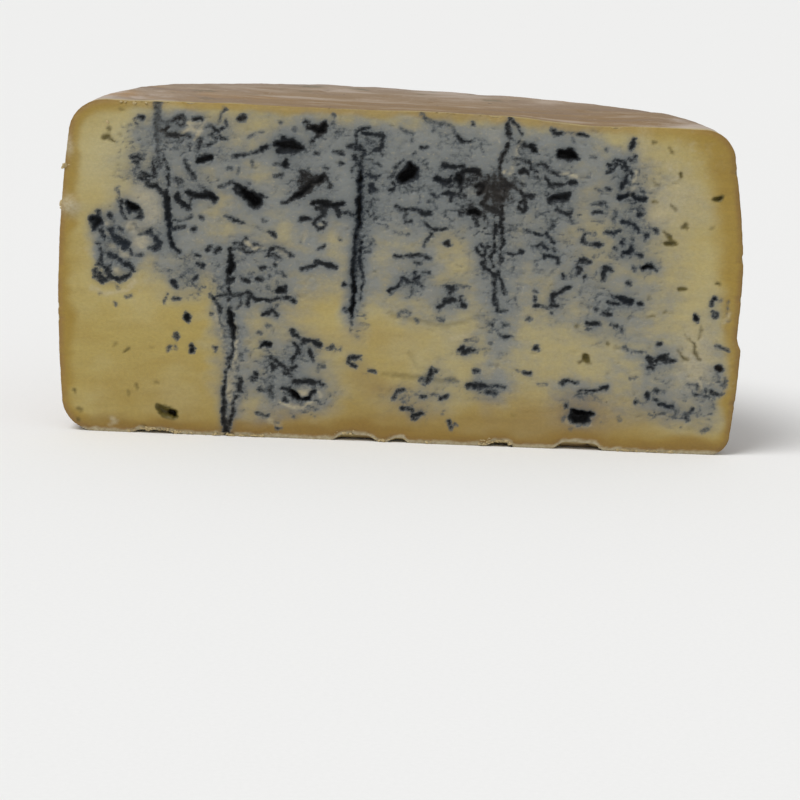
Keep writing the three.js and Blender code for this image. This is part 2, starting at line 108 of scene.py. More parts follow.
# Dark marks of the mould, with all numbers in tenths: darkness, depth, then places along the mark as x, z and
# half width. So 10 is fully dark, and lengths are in tenths of a millimetre.
MARKS = (
    # Upper left, round the first needle channel
    (6, 8, -723, 970, 9, -719, 930, 9, -724, 900, 8, -718, 850, 7, -712, 820, 4),
    (9.5, 8, -772, 930, 5, -765, 925, 7), (5.5, 5, -784, 920, 3, -780, 902, 4),
    (6.5, 5, -730, 920, 3, -694, 916, 5, -670, 918, 4),
    (8.5, 8, -669, 926, 5, -653, 934, 6, -640, 922, 5, -652, 908, 5, -668, 916, 4),
    (9, 9, -710, 890, 5, -680, 878, 7, -650, 880, 8, -624, 876, 4), (8.5, 8, -700, 884, 6, -690, 904, 4),
    (9.5, 9, -617, 925, 5, -602, 929, 7, -592, 923, 4), (6, 4, -600, 908, 3, -582, 903, 3.5),
    (7, 5, -675, 836, 3, -658, 842, 4), (8, 7, -604, 872, 7, -593, 864, 7, -600, 850, 5, -604, 830, 4),
    (6, 5, -530, 960, 4, -538, 940, 4.5, -540, 925, 4), (6.5, 5, -520, 925, 4, -520, 910, 5),
    (9, 8, -566, 910, 4, -550, 895, 8, -532, 905, 4), (9, 8, -562, 880, 6, -548, 870, 5),
    (9, 8, -542, 886, 4, -528, 875, 6, -520, 871, 4), (7.5, 6, -572, 853, 5, -560, 858, 4),
    (10, 22, -598, 809, 9, -585, 813, 9, -566, 816, 8), (8, 6, -596, 824, 4, -572, 827, 3.5),
    (8, 8, -638, 805, 5, -625, 780, 6, -612, 758, 7, -604, 751, 4), (6.5, 9, -664, 752, 9, -648, 741, 10),
    (8.5, 8, -795, 807, 5, -776, 813, 6, -760, 805, 4), (8, 7, -779, 800, 8, -775, 784, 5),
    (6.5, 6, -787, 775, 3, -773, 750, 4.5, -760, 744, 4), (8.5, 8, -764, 763, 5, -740, 760, 6, -720, 755, 6),
    (8, 8, -730, 790, 3, -725, 770, 5, -723, 756, 5), (8.5, 8, -765, 750, 6, -740, 743, 6),
    (9.5, 9, -750, 733, 5, -740, 728, 7, -720, 730, 5, -706, 716, 6, -696, 702, 6),
    (8.5, 7, -724, 770, 3, -722, 795, 3.5, -712, 803, 3, -697, 804, 4, -690, 785, 4.5, -687, 750, 4.5, -684,
     733, 3.5),
    (10, 18, -693, 714, 6, -687, 700, 9.5, -689, 670, 8.5, -683, 644, 8.5, -679, 615, 7, -680, 595, 5, -674,
     570, 6.5, -663, 550, 5.5, -652, 539, 3.5), (10, 30, -802, 678, 9, -790, 666, 16, -772, 660, 10),
    (9.5, 14, -764, 650, 9, -761, 640, 9, -773, 637, 6),
    (8, 8, -821, 684, 4, -818, 650, 6, -807, 634, 4, -794, 625, 3), (4.5, 5, -829, 716, 5, -829, 690, 5),
    (9, 8, -854, 640, 7, -851, 636, 7), (10, 22, -902, 626, 11, -884, 618, 14, -896, 603, 9),
    (7.5, 8, -887, 649, 5, -883, 630, 6), (8.5, 8, -875, 600, 6, -872, 590, 7, -870, 570, 4.5),
    (7.5, 7, -885, 555, 4, -875, 530, 6, -876, 505, 7),
    (9.5, 12, -848, 595, 6, -840, 576, 9, -820, 565, 14, -802, 556, 12, -810, 545, 8),
    (7.5, 5, -830, 603, 4.5, -815, 598, 4), (9.5, 9, -766, 584, 5, -748, 590, 6, -736, 598, 6, -730, 587, 5),
    (8.5, 9, -716, 576, 8, -710, 560, 9, -709, 547, 5, -736, 549, 4),
    (7, 5, -806, 613, 3, -780, 614, 4, -773, 603, 4), (8.5, 8, -851, 527, 7, -836, 518, 7),
    (8, 7, -793, 543, 4, -786, 528, 4), (8, 7, -774, 526, 4, -755, 526, 4),
    (9, 9, -824, 510, 8, -808, 502, 5), (8, 7, -882, 495, 6, -865, 485, 6, -847, 493, 5),
    (8.5, 7, -892, 476, 3, -890, 458, 6), (9, 8, -880, 465, 6, -869, 448, 8, -855, 455, 5),
    (8, 16, -293, 773, 16, -292, 743, 15, -310, 718, 8), (10, 30, -446, 714, 16, -427, 698, 17),
    (10, 30, 516, 100, 10, 530, 90, 14, 554, 90, 15, 564, 100, 7),
    (9.5, 9, -853, 482, 5, -850, 462, 6, -842, 455, 6, -820, 453, 7, -806, 460, 5, -790, 470, 4.5),
    (9.5, 9, -813, 503, 5, -796, 496, 9, -785, 482, 6), (4.5, 4, -826, 434, 5, -824, 425, 5),
    (4, 4, -877, 410, 6, -873, 408, 5), (5, 4, -800, 399, 4, -786, 405, 5),
    (4, 3, -830, 382, 5, -828, 378, 5), (7, 6, -670, 630, 2.5, -640, 632, 3, -620, 642, 3, -614, 650, 3),
    (8, 7, -668, 606, 6, -650, 610, 5, -634, 612, 4), (9.5, 9, -609, 608, 8, -605, 612, 7),
    (8.5, 6, -589, 642, 5, -583, 640, 5),
    (9.5, 14, -658, 708, 7, -651, 690, 7.5, -635, 674, 7.5, -621, 666, 5),
    (7.5, 6, -619, 695, 3, -620, 670, 3),
    (10, 20, -630, 718, 5.5, -610, 706, 9.5, -580, 708, 11.5, -560, 706, 11, -549, 696, 9),
    (6.5, 5, -594, 734, 4, -570, 720, 5), (9, 8, -567, 549, 5, -556, 556, 4),
    (9.5, 9, -543, 542, 6, -532, 552, 6), (8.5, 7, -599, 533, 4.5, -592, 531, 4),
    (4.5, 3, -613, 544, 3, -609, 530, 2.5), (9, 8, -594, 508, 5, -578, 503, 7),
    (6, 5, -640, 470, 6, -633, 475, 4), (9.5, 9, -664, 452, 6, -656, 436, 6),
    (8, 7, -660, 406, 4, -648, 405, 5), (5.5, 4, -682, 415, 4, -684, 404, 4, -690, 392, 4),
    (8.5, 7, -606, 454, 4, -600, 464, 6, -595, 474, 4), (5.5, 6, -718, 970, 10, -718, 880, 11, -710, 800, 8),
    (3.5, 8, -840, 620, 12, -850, 570, 22, -830, 510, 22), (3, 8, -790, 600, 10, -740, 590, 13),
    # Upper middle, between the first and the third channel
    (8, 14, -287, 783, 9, -276, 756, 19, -250, 770, 12), (8.5, 10, -484, 932, 5.5, -470, 937, 7.5),
    (6, 5, -367, 927, 6, -363, 925, 5), (4.5, 5, -326, 913, 6, -324, 906, 6),
    (4.5, 3, -460, 882, 3, -435, 892, 2.5, -415, 896, 2.5),
    (8, 6, -503, 822, 3, -486, 826, 4.5, -460, 832, 4, -435, 838, 3.5, -420, 843, 5),
    (10, 15, -416, 845, 5.5, -405, 854, 8), (8.5, 7, -514, 792, 3.5, -506, 790, 5),
    (5, 4, -484, 790, 4.5, -482, 775, 4), (5, 4, -444, 808, 4, -441, 801, 5),
    (7.5, 6, -534, 736, 4.5, -515, 744, 4, -500, 750, 3.5),
    (10, 20, -495, 745, 3.5, -480, 738, 6, -466, 726, 11),
    (10, 46, -466, 726, 10, -446, 708, 17, -433, 694, 17, -430, 683, 9),
    (10, 16, -426, 710, 10, -415, 713, 7, -402, 709, 3.5),
    (10, 10, -493, 732, 5, -484, 722, 5, -468, 716, 6), (6, 4, -460, 749, 3, -449, 745, 2.5),
    (10, 32, -372, 863, 12, -353, 864, 16, -330, 862, 17, -314, 856, 14, -298, 854, 6),
    (10, 14, -357, 886, 5.5, -353, 873, 8), (10, 18, -367, 847, 9, -340, 847, 11, -319, 846, 9),
    (10, 16, -349, 805, 9.5, -347, 819, 5), (6.5, 5, -363, 806, 5, -378, 806, 3),
    (8, 6, -376, 773, 3, -356, 775, 4), (9.5, 8, -352, 696, 4, -338, 699, 5, -330, 706, 5),
    (8.5, 6, -518, 650, 2.5, -500, 645, 4, -488, 639, 6, -478, 635, 3.5, -466, 630, 3),
    (3.5, 2, -466, 630, 3, -420, 618, 3, -389, 609, 3), (9, 6, -389, 608, 3, -380, 604, 5.5, -370, 598, 3),
    (7.5, 5, -406, 641, 5, -402, 639, 4), (8, 6, -457, 586, 6, -463, 572, 5),
    (7, 5, -490, 570, 4, -465, 570, 5, -455, 562, 4),
    (9, 7, -458, 550, 4, -443, 546, 4.5, -422, 556, 4, -413, 564, 5, -426, 570, 4.5, -443, 563, 3),
    (8, 6, -500, 556, 3, -475, 555, 4, -460, 553, 4.5),
    (9, 7, -390, 540, 5, -384, 558, 5, -365, 562, 5, -346, 553, 5, -327, 545, 5, -320, 543, 3.5),
    (7.5, 9, -376, 540, 10, -363, 534, 8, -353, 532, 5), (7.5, 6, -372, 514, 6, -368, 511, 5),
    (10, 26, -286, 916, 5, -270, 914, 9.5, -253, 910, 12, -240, 918, 12, -237, 932, 5.5),
    (9.5, 7, -250, 894, 5, -265, 885, 4, -275, 876, 3.5), (9, 6, -298, 934, 4, -285, 930, 4, -289, 918, 3),
    (5, 4, -250, 892, 3, -233, 883, 3), (5.5, 4, -213, 955, 4, -212, 950, 4),
    (5, 4, -214, 930, 6, -212, 923, 6), (4, 4, -207, 893, 6, -203, 887, 5),
    (8, 6, -263, 840, 6.5, -253, 843, 3.5), (8.5, 7, -187, 815, 6, -183, 816, 5),
    (8.5, 5, -235, 802, 3, -227, 800, 5), (8.5, 7, -210, 849, 3, -198, 847, 5, -182, 843, 5.5),
    (8, 12, -307, 790, 5, -295, 782, 11, -280, 776, 12, -268, 764, 12),
    (10, 22, -272, 756, 10, -260, 758, 10, -247, 765, 10, -240, 775, 8),
    (10, 24, -274, 746, 13, -290, 733, 12, -305, 723, 11, -318, 716, 8, -330, 707, 5),
    (9, 7, -238, 782, 5, -225, 765, 5.5, -215, 750, 6.5), (8, 6, -310, 770, 4, -308, 750, 3.5),
    (10, 20, -264, 698, 7, -240, 700, 9.5, -220, 696, 9.5, -200, 694, 7.5, -178, 697, 7),
    (9.5, 8, -255, 685, 5, -220, 686, 4.5), (10, 9, -203, 690, 6, -192, 678, 6, -187, 663, 4.5),
    (9, 7, -190, 674, 4.5, -170, 673, 3.5, -154, 670, 6.5, -146, 665, 5),
    (9.5, 8, -234, 678, 8, -232, 666, 6, -245, 658, 4, -258, 648, 4, -262, 637, 4, -250, 628, 4, -233, 625,
     4.5, -226, 635, 4, -233, 646, 3.5, -245, 650, 3),
    (10, 10, -294, 648, 7.5, -279, 653, 6.5, -272, 649, 4),
    (3.5, 2, -283, 630, 2, -285, 610, 2, -300, 580, 2), (6, 4, -182, 596, 4, -179, 594, 4),
    (9.5, 7, -243, 565, 3.5, -235, 570, 5.5, -228, 574, 3),
    (10, 9, -250, 528, 5, -235, 523, 6, -210, 518, 7, -192, 514, 6.5),
    (8, 8, -288, 504, 6, -265, 510, 7, -245, 518, 5),
    # Along the third channel
    (8.5, 8, -146, 898, 5, -143, 910, 5, -128, 918, 5, -112, 919, 3.5),
    (8.5, 7, -146, 900, 5, -143, 880, 3.5, -145, 865, 5),
    (9.5, 9, -125, 905, 5, -105, 902, 6, -83, 903, 5.5, -70, 897, 5.5, -68, 880, 6, -72, 864, 6.5, -85, 856,
     6, -98, 856, 4), (5, 4, -118, 885, 4, -105, 870, 3.5), (8.5, 7, -170, 863, 5, -155, 868, 6),
    (9.5, 12, -148, 858, 6, -133, 862, 9, -123, 850, 8.5), (9, 9, -147, 840, 5, -144, 817, 4),
    (9, 9, -130, 840, 6, -129, 817, 4.5), (8, 6, -110, 830, 5, -93, 826, 4),
    (8, 6, -82, 817, 5, -78, 815, 4),
    (10, 26, -131, 797, 6.5, -130, 770, 6.5, -132, 750, 6.5, -133, 730, 5.5, -133, 705, 6.5, -130, 685, 9,
     -131, 665, 6.5, -128, 645, 7.5, -133, 625, 5, -137, 600, 4.5),
    (9.5, 18, -138, 600, 4.5, -139, 570, 4, -142, 540, 5, -140, 510, 6),
    (9.5, 18, -120, 595, 3.5, -122, 570, 3.5, -123, 540, 4.5, -118, 510, 4.5),
    (10, 24, -140, 505, 6, -138, 470, 6.5, -138, 440, 6.5, -139, 410, 6, -139, 385, 6, -139, 370, 4),
    (5, 8, -139, 370, 4, -141, 330, 1.5),
    (7.5, 9, -118, 510, 4, -110, 470, 2.5, -115, 440, 2.5, -116, 420, 3),
    (9.5, 8, -105, 786, 6, -88, 779, 5.5, -77, 784, 4.5), (9, 10, -100, 754, 9, -90, 744, 9, -100, 738, 6),
    (5.5, 5, -115, 800, 5, -95, 805, 5), (7, 4, -95, 713, 4, -91, 713, 3.5),
    (5, 4, -87, 687, 4.5, -83, 684, 4), (7, 5, -101, 659, 4, -96, 660, 3.5),
    (7, 5, -160, 390, 5, -152, 386, 4), (9, 7, -165, 462, 6, -158, 459, 4),
    (7, 4, -154, 800, 3, -152, 790, 3),
    (7, 12, -129, 840, 8, -130, 750, 12, -130, 650, 12, -132, 550, 11, -136, 450, 8, -139, 380, 3),
    (5, 6, -110, 880, 10, -90, 875, 17),
    # The great eye and what is round it
    (10, 40, -12, 780, 17, 15, 796, 25),
    (10, 50, -20, 778, 8, -5, 779, 17, 10, 793, 22, 23, 804, 16, 10, 822, 8),
    (10, 20, 24, 798, 12, 36, 790, 9), (8, 6, -28, 807, 3, -22, 820, 3.5, -8, 832, 3.5),
    (8.5, 7, -48, 780, 4, -36, 786, 6), (8.5, 7, -39, 767, 5, -28, 759, 4),
    (9.5, 9, -52, 748, 4, -40, 744, 5.5, -32, 749, 3.5), (6, 4, -45, 736, 3, -35, 733, 3),
    (5, 5, -20, 925, 3, 0, 915, 4, 15, 910, 4), (4.5, 4, 15, 893, 5, 14, 884, 5),
    (8, 6, 44, 871, 5, 58, 870, 5), (8.5, 6, 20, 850, 4, 28, 854, 4),
    (4.5, 6, 42, 964, 6, 50, 950, 7, 75, 940, 7, 90, 938, 7, 110, 938, 6, 130, 933, 6, 139, 917, 5),
    (9.5, 10, 146, 910, 5, 152, 898, 7.5, 165, 891, 5, 175, 890, 3, 188, 893, 2.5),
    (8.5, 7, 189, 944, 5, 193, 942, 4), (4.5, 4, 77, 926, 6, 74, 920, 5),
    (5, 3, 215, 895, 4.5, 216, 876, 3, 224, 863, 3, 234, 862, 3),
    (9.5, 8, -26, 698, 3, -10, 689, 5.5, 10, 691, 4, 35, 693, 4, 50, 687, 4),
    (9, 7, 7, 685, 3.5, 6, 665, 3.5, 9, 652, 5, 20, 656, 4), (10, 10, 54, 681, 7, 70, 681, 8),
    (5, 2, -85, 645, 1.5, -52, 642, 2, -47, 635, 3), (5, 2, -30, 625, 2.5, 15, 617, 3),
    (9.5, 8, 61, 648, 4, 77, 640, 5, 85, 637, 5.5, 100, 636, 4.5), (8.5, 6, 110, 638, 4.5, 120, 638, 4.5),
    (9, 7, 78, 626, 5, 80, 615, 4.5, 70, 603, 3.5, 64, 597, 3), (6, 4, 65, 588, 3.5, 63, 584, 3),
    (9.5, 6, -20, 554, 3, 0, 553, 3.5, 25, 556, 3, 50, 559, 4, 68, 553, 4.5, 80, 548, 3.5),
    (8.5, 6, 37, 540, 3, 46, 534, 4.5, 54, 535, 3), (8.5, 7, 34, 504, 5, 44, 510, 4),
    (7.5, 7, 60, 506, 6, 80, 508, 4.5), (8.5, 6, 75, 740, 4, 84, 731, 4, 98, 730, 3.5),
    (6, 4, 71, 715, 3.5, 85, 715, 3, 92, 698, 3), (5, 3, 115, 683, 2.5, 130, 694, 2.5),
    # Between the great eye and the fourth channel
    (7, 10, 130, 780, 9, 170, 773, 19, 210, 790, 12), (7.5, 10, 253, 790, 13, 263, 750, 23, 273, 710, 15),
    (8, 16, 230, 775, 14, 260, 760, 22, 295, 770, 17),
    (10, 12, 108, 819, 5, 120, 820, 7.5, 133, 820, 6, 150, 820, 4, 170, 821, 3),
    (3.5, 3, 100, 833, 3, 140, 837, 3, 180, 838, 3),
    (9.5, 16, 89, 784, 8, 100, 778, 8.5, 113, 773, 8, 129, 775, 7, 130, 793, 4),
    (8.5, 9, 112, 763, 5, 134, 763, 5),
    (10, 24, 142, 784, 8, 154, 794, 11, 160, 776, 12, 163, 760, 7, 167, 746, 4.5),
    (10, 16, 164, 803, 9, 175, 812, 8, 187, 808, 9, 204, 810, 9, 214, 798, 6),
    (10, 20, 203, 766, 6, 213, 770, 10, 225, 766, 11, 221, 750, 9, 212, 746, 6),
    (9.5, 10, 113, 740, 5, 126, 741, 7.5, 140, 738, 7.5, 158, 736, 4.5),
    (9.5, 9, 134, 730, 6, 136, 723, 6.5),
    (8.5, 7, 178, 709, 3.5, 192, 710, 5.5, 196, 702, 4.5, 180, 693, 5, 165, 693, 5.5, 163, 682, 4.5, 175,
     681, 4), (10, 28, 190, 688, 9.5, 205, 690, 12, 215, 688, 11),
    (9, 8, 202, 674, 5, 207, 664, 4.5, 212, 655, 5), (9.5, 10, 124, 595, 5, 131, 598, 7.5, 134, 593, 6),
    (9.5, 9, 134, 469, 5, 148, 463, 8, 144, 450, 5.5), (6.5, 4, 156, 473, 3, 180, 471, 3.5, 198, 471, 2.5),
    (10, 10, 111, 406, 3.5, 123, 411, 4, 133, 423, 8, 148, 430, 8, 160, 430, 4),
    (10, 9, 174, 437, 4, 176, 426, 5.5, 184, 416, 6.5), (7, 4, 165, 420, 3, 172, 414, 3),
    (6, 4, 103, 375, 3, 115, 371, 4.5, 128, 372, 3),
    (9.5, 8, -35, 449, 5.5, -28, 454, 5, -15, 458, 3, -6, 466, 2.5, 1, 479, 4),
    (9, 7, 4, 487, 5, 20, 477, 4, 35, 478, 5, 50, 473, 4.5, 63, 468, 3),
    (9.5, 9, 31, 492, 4.5, 41, 490, 7.5, 50, 496, 6), (6, 4, 13, 467, 3, 20, 468, 3),
    (5, 3, -6, 386, 2.5, 10, 392, 3.5, 25, 387, 4, 26, 380, 3, 10, 374, 3, -5, 378, 2.5),
    (5.5, 3, 41, 370, 3, 53, 362, 4),
    # The fourth channel
    (8.5, 9, 298, 966, 3, 303, 957, 5, 315, 946, 3.5, 325, 930, 3, 332, 918, 3),
    (9, 9, 296, 960, 4, 289, 943, 4.5, 290, 923, 6, 300, 910, 5.5, 307, 905, 3),
    (8.5, 12, 290, 890, 4.5, 287, 870, 5, 276, 850, 5, 273, 825, 5, 273, 805, 5),
    (4, 4, 302, 900, 2.5, 296, 860, 2.5),
    (9, 10, 236, 793, 5, 240, 775, 6, 237, 755, 6, 242, 735, 8, 226, 716, 8),
    (9, 12, 226, 714, 7, 240, 706, 10, 256, 700, 10, 270, 693, 9, 282, 690, 8),
    (9, 8, 257, 785, 5, 260, 781, 5), (9.5, 14, 255, 765, 8.5, 263, 750, 8.5, 270, 733, 9, 285, 727, 8),
    (8.5, 12, 275, 796, 7, 287, 784, 12, 295, 770, 14, 290, 752, 12, 295, 736, 7),
    (8.5, 9, 308, 772, 9, 322, 764, 7), (8.5, 7, 230, 685, 7, 233, 669, 4.5),
    (9.5, 14, 283, 710, 5, 286, 692, 6, 284, 670, 5.5, 283, 650, 5, 286, 630, 6, 293, 615, 5, 290, 595, 4,
     286, 583, 3),
    (9.5, 12, 267, 660, 3.5, 270, 640, 4, 263, 620, 4, 267, 602, 4, 266, 585, 4, 260, 570, 3.5, 257, 559,
     3.5), (5, 4, 277, 610, 2, 276, 585, 2), (6, 5, 243, 673, 5, 246, 650, 5.5),
    (9.5, 8, 213, 586, 4, 225, 595, 4, 238, 582, 4, 240, 565, 4.5, 230, 563, 4, 220, 572, 3.5, 214, 584,
     3.5), (9, 7, 246, 593, 5, 250, 592, 4),
    (9.5, 9, 240, 553, 4, 234, 540, 5, 240, 528, 5, 255, 520, 5.5, 265, 508, 6, 278, 505, 5),
    (8.5, 7, 255, 570, 3, 258, 550, 3, 268, 532, 4), (8, 7, 282, 570, 5, 289, 554, 4.5, 284, 540, 4),
    (9, 8, 278, 520, 4, 284, 505, 4, 295, 482, 3.5, 300, 465, 4.5, 302, 453, 5.5),
    (8, 9, 274, 500, 5, 273, 475, 5.5, 270, 460, 4, 273, 440, 5.5, 277, 420, 5, 285, 402, 5),
    (7, 6, 286, 400, 5, 300, 402, 4.5, 313, 404, 3), (6, 5, 302, 364, 5.5, 314, 365, 3.5),
    (9.5, 7, 292, 334, 3, 305, 329, 3.5, 313, 328, 5, 324, 328, 3), (9, 6, 270, 362, 5, 270, 356, 5),
    (6, 4, 262, 342, 3.5, 272, 343, 3),
    (10, 8, 296, 578, 3, 308, 573, 3.5, 323, 569, 4, 333, 574, 4, 342, 579, 5.5, 351, 579, 5),
    (6, 4, 310, 551, 3, 327, 553, 3),
    # Upper right of the middle
    (8, 10, 325, 895, 7, 340, 886, 8, 352, 886, 7), (10, 18, 358, 889, 8, 368, 881, 8.5, 370, 872, 6),
    (8.5, 8, 305, 850, 3, 320, 850, 4, 340, 848, 5, 353, 840, 5.5, 365, 826, 6, 375, 815, 5),
    (6.5, 5, 310, 834, 4.5, 330, 835, 4.5), (5.5, 4, 325, 865, 3, 350, 860, 4),
    (10, 14, 330, 809, 6, 340, 814, 8.5, 353, 808, 7.5), (6, 4, 310, 805, 3, 325, 805, 3),
    (8.5, 8, 383, 835, 5.5, 398, 832, 7.5, 409, 828, 5), (7.5, 6, 376, 800, 5, 385, 790, 5),
    (8, 6, 315, 790, 3, 335, 778, 4, 348, 774, 4),
    (9.5, 9, 330, 760, 4, 340, 750, 5, 350, 742, 5.5, 366, 743, 7.5),
    (9.5, 9, 345, 734, 4, 332, 716, 4, 336, 702, 5, 347, 698, 5.5, 352, 712, 5, 349, 730, 4.5),
    (9.5, 8, 418, 936, 3.5, 430, 926, 6, 448, 929, 3.5), (4, 2, 450, 930, 2, 490, 929, 2),
    (9.5, 8, 495, 928, 3.5, 507, 925, 4.5, 516, 923, 3), (5, 4, 477, 912, 4.5, 482, 904, 4.5),
    (10, 42, 440, 876, 7, 456, 872, 12, 476, 868, 15, 488, 859, 9, 496, 854, 4),
    (10, 26, 438, 864, 8, 456, 859, 9, 474, 856, 9), (7.5, 7, 410, 822, 5, 430, 815, 6, 445, 805, 4.5),
    (6, 5, 446, 810, 4, 470, 799, 4),
    (9.5, 9, 402, 800, 3, 410, 788, 4, 420, 776, 6, 435, 779, 5.5, 450, 780, 5.5, 460, 779, 4),
    (9.5, 10, 473, 785, 5, 486, 787, 7, 494, 785, 5),
    (10, 22, 419, 735, 7, 429, 742, 9, 445, 741, 13, 462, 744, 12, 474, 750, 7),
    (9.5, 8, 420, 728, 4.5, 436, 728, 4),
    (9.5, 8, 443, 710, 3, 450, 703, 4.5, 465, 699, 4.5, 478, 694, 6.5, 483, 696, 4),
    (6, 4, 478, 674, 4, 483, 670, 4.5), (7, 7, 425, 670, 7, 438, 666, 6, 428, 650, 5),
    (9, 7, 361, 641, 4, 368, 640, 5), (9, 8, 380, 637, 4, 389, 632, 6, 403, 630, 4.5),
    (8.5, 8, 414, 636, 5, 422, 627, 5, 435, 616, 5, 440, 610, 4),
    (9, 8, 385, 597, 4, 398, 601, 5, 413, 598, 5.5, 420, 592, 4.5), (7.5, 6, 436, 592, 4, 442, 580, 4),
    (9.5, 8, 412, 572, 5.5, 413, 564, 4, 420, 569, 3.5, 435, 570, 3.5, 447, 567, 4.5, 452, 557, 4, 456, 552,
     3), (4, 3, 388, 547, 5, 393, 545, 4.5), (6, 4, 533, 863, 4, 542, 863, 3.5),
    (5, 4, 576, 886, 5, 577, 880, 4.5), (5, 3, 548, 772, 3, 560, 766, 2.5, 573, 765, 2.5),
    (8, 7, 587, 771, 6, 591, 769, 5), (7.5, 6, 565, 733, 3.5, 580, 730, 4.5, 585, 722, 4.5),
    (7, 4, 545, 726, 2.5, 570, 724, 3.5), (9.5, 8, 549, 703, 3.5, 562, 704, 6, 570, 703, 4),
    (5, 4, 510, 653, 4.5, 525, 648, 5, 545, 643, 5, 556, 642, 5),
    (8.5, 7, 523, 640, 4, 519, 620, 4, 522, 612, 5, 530, 610, 4),
    (10, 9, 542, 609, 3.5, 555, 610, 4.5, 568, 608, 6.5, 577, 608, 3.5), (4, 3, 559, 576, 4.5, 564, 574, 4),
    (9.5, 8, 512, 556, 5, 519, 564, 4.5, 534, 562, 4.5, 546, 556, 4.5, 535, 551, 3, 522, 553, 3.5),
    (8.5, 8, 510, 540, 5, 520, 532, 7.5, 510, 522, 6), (8.5, 7, 469, 522, 4, 472, 510, 5.5),
    (6, 4, 493, 518, 4, 497, 516, 3.5), (9, 7, 530, 512, 4.5, 538, 516, 4),
    (6, 3, 550, 511, 3, 562, 510, 2.5), (9.5, 10, 588, 544, 7, 603, 538, 5, 610, 535, 3),
    (9.5, 9, 587, 534, 5.5, 586, 518, 4.5, 587, 508, 6),
    # Along the sixth channel
    (9, 10, 654, 918, 4.5, 652, 906, 4, 648, 892, 6.5), (8.5, 8, 638, 863, 4.5, 650, 857, 6.5, 658, 868, 4),
    (9.5, 9, 603, 854, 4.5, 620, 855, 5, 628, 848, 5.5),
    (9.5, 8, 607, 846, 4, 602, 834, 4.5, 588, 826, 4.5, 584, 823, 4.5, 585, 837, 4, 598, 845, 4),
    (9.5, 9, 630, 843, 5.5, 638, 832, 5.5, 648, 827, 4.5, 656, 818, 4, 657, 807, 3.5),
    (8, 8, 616, 845, 7, 625, 835, 6), (10, 12, 643, 810, 3, 635, 798, 5, 627, 788, 7.5, 623, 777, 6),
    (10, 16, 620, 749, 7, 628, 749, 8, 640, 757, 6.5, 653, 759, 6.5, 665, 750, 5.5, 680, 747, 7, 692, 746,
     6), (6, 4, 658, 733, 3, 652, 717, 4), (7, 4, 678, 777, 2.5, 690, 770, 3, 694, 760, 3),
    (10, 10, 680, 700, 5.5, 688, 701, 6.5, 695, 704, 3.5), (6, 6, 610, 713, 4.5, 614, 695, 6, 610, 673, 4),
    (9.5, 9, 636, 680, 5.5, 650, 677, 4, 663, 677, 4, 670, 668, 4, 678, 660, 5, 682, 650, 3.5),
    (8.5, 7, 586, 647, 4, 600, 645, 5, 613, 642, 4, 618, 650, 4.5, 627, 652, 4.5),
    (9, 8, 639, 623, 7.5, 632, 616, 6), (8, 6, 663, 631, 4.5, 668, 631, 4),
    (10, 14, 640, 591, 6, 654, 589, 9, 662, 596, 8.5, 662, 608, 4.5), (8, 6, 613, 601, 5, 617, 599, 5),
    (7.5, 6, 634, 581, 5, 636, 577, 4.5), (9.5, 8, 680, 588, 4.5, 689, 583, 6.5),
    (8.5, 7, 703, 645, 5.5, 704, 628, 3.5), (8, 7, 728, 658, 5, 736, 652, 5),
    (7.5, 6, 673, 548, 5, 677, 546, 5), (10, 26, 698, 546, 7, 713, 551, 8.5, 726, 549, 6.5),
    (7.5, 5, 726, 560, 4.5, 730, 550, 4.5, 738, 541, 3), (8.5, 7, 658, 501, 6, 664, 499, 5),
    (8.5, 10, 606, 440, 5.5, 620, 438, 6, 635, 438, 5),
    (10, 16, 622, 458, 4, 635, 453, 6, 650, 448, 9, 665, 446, 9, 675, 449, 5),
    (10, 9, 687, 443, 4, 695, 440, 5.5, 703, 439, 3), (6, 5, 610, 465, 4, 630, 462, 4),
    (8, 6, 570, 421, 5, 574, 419, 5), (8.5, 7, 592, 413, 4, 605, 420, 5, 615, 422, 4),
    (10, 9, 605, 407, 7, 608, 405, 6), (9, 6, 650, 369, 3, 648, 357, 4.5),
    (10, 9, 545, 376, 4, 555, 378, 4.5, 567, 379, 6, 583, 376, 3.5), (9, 6, 546, 363, 5, 556, 363, 3.5),
    (9, 6, 618, 375, 4, 628, 373, 4.5, 637, 370, 3),
    # Right of the middle, small ones
    (5.5, 4, 333, 440, 3.5, 339, 422, 4.5), (6, 6, 374, 383, 6, 379, 381, 5),
    (8.5, 6, 392, 465, 3.5, 386, 468, 3), (8.5, 6, 393, 446, 4, 395, 442, 4),
    (9.5, 7, 394, 422, 5, 400, 424, 4.5), (6.5, 4, 406, 424, 3, 430, 420, 3),
    (9.5, 9, 485, 482, 5.5, 478, 475, 4.5, 470, 466, 4.5, 460, 463, 3.5, 444, 459, 6, 439, 446, 4.5, 445,
     435, 4.5, 440, 426, 6, 453, 425, 5), (7.5, 5, 441, 404, 4.5, 443, 402, 4),
    (6.5, 5, 196, 313, 3.5, 215, 316, 4.5, 228, 312, 3.5), (4.5, 4, 265, 308, 5, 270, 306, 4.5),
    (10, 10, 175, 280, 4.5, 186, 289, 7, 189, 280, 8, 193, 276, 4.5),
    (10, 8, 195, 283, 3.5, 212, 284, 6, 222, 285, 5), (4.5, 3, 230, 288, 3, 250, 289, 2.5),
    (8, 5, 222, 224, 4, 229, 225, 4.5, 236, 225, 3), (9.5, 7, 370, 226, 3.5, 380, 221, 5.5, 389, 223, 3.5),
    (4, 3, 344, 233, 3.5, 360, 228, 3.5), (8.5, 12, 401, 300, 7, 405, 298, 6),
    (9, 10, 99, 222, 4.5, 98, 208, 6, 92, 192, 7, 84, 183, 7), (8.5, 6, 113, 220, 3.5, 104, 208, 4),
    (3.5, 5, 140, 195, 7, 165, 190, 9, 180, 183, 6),
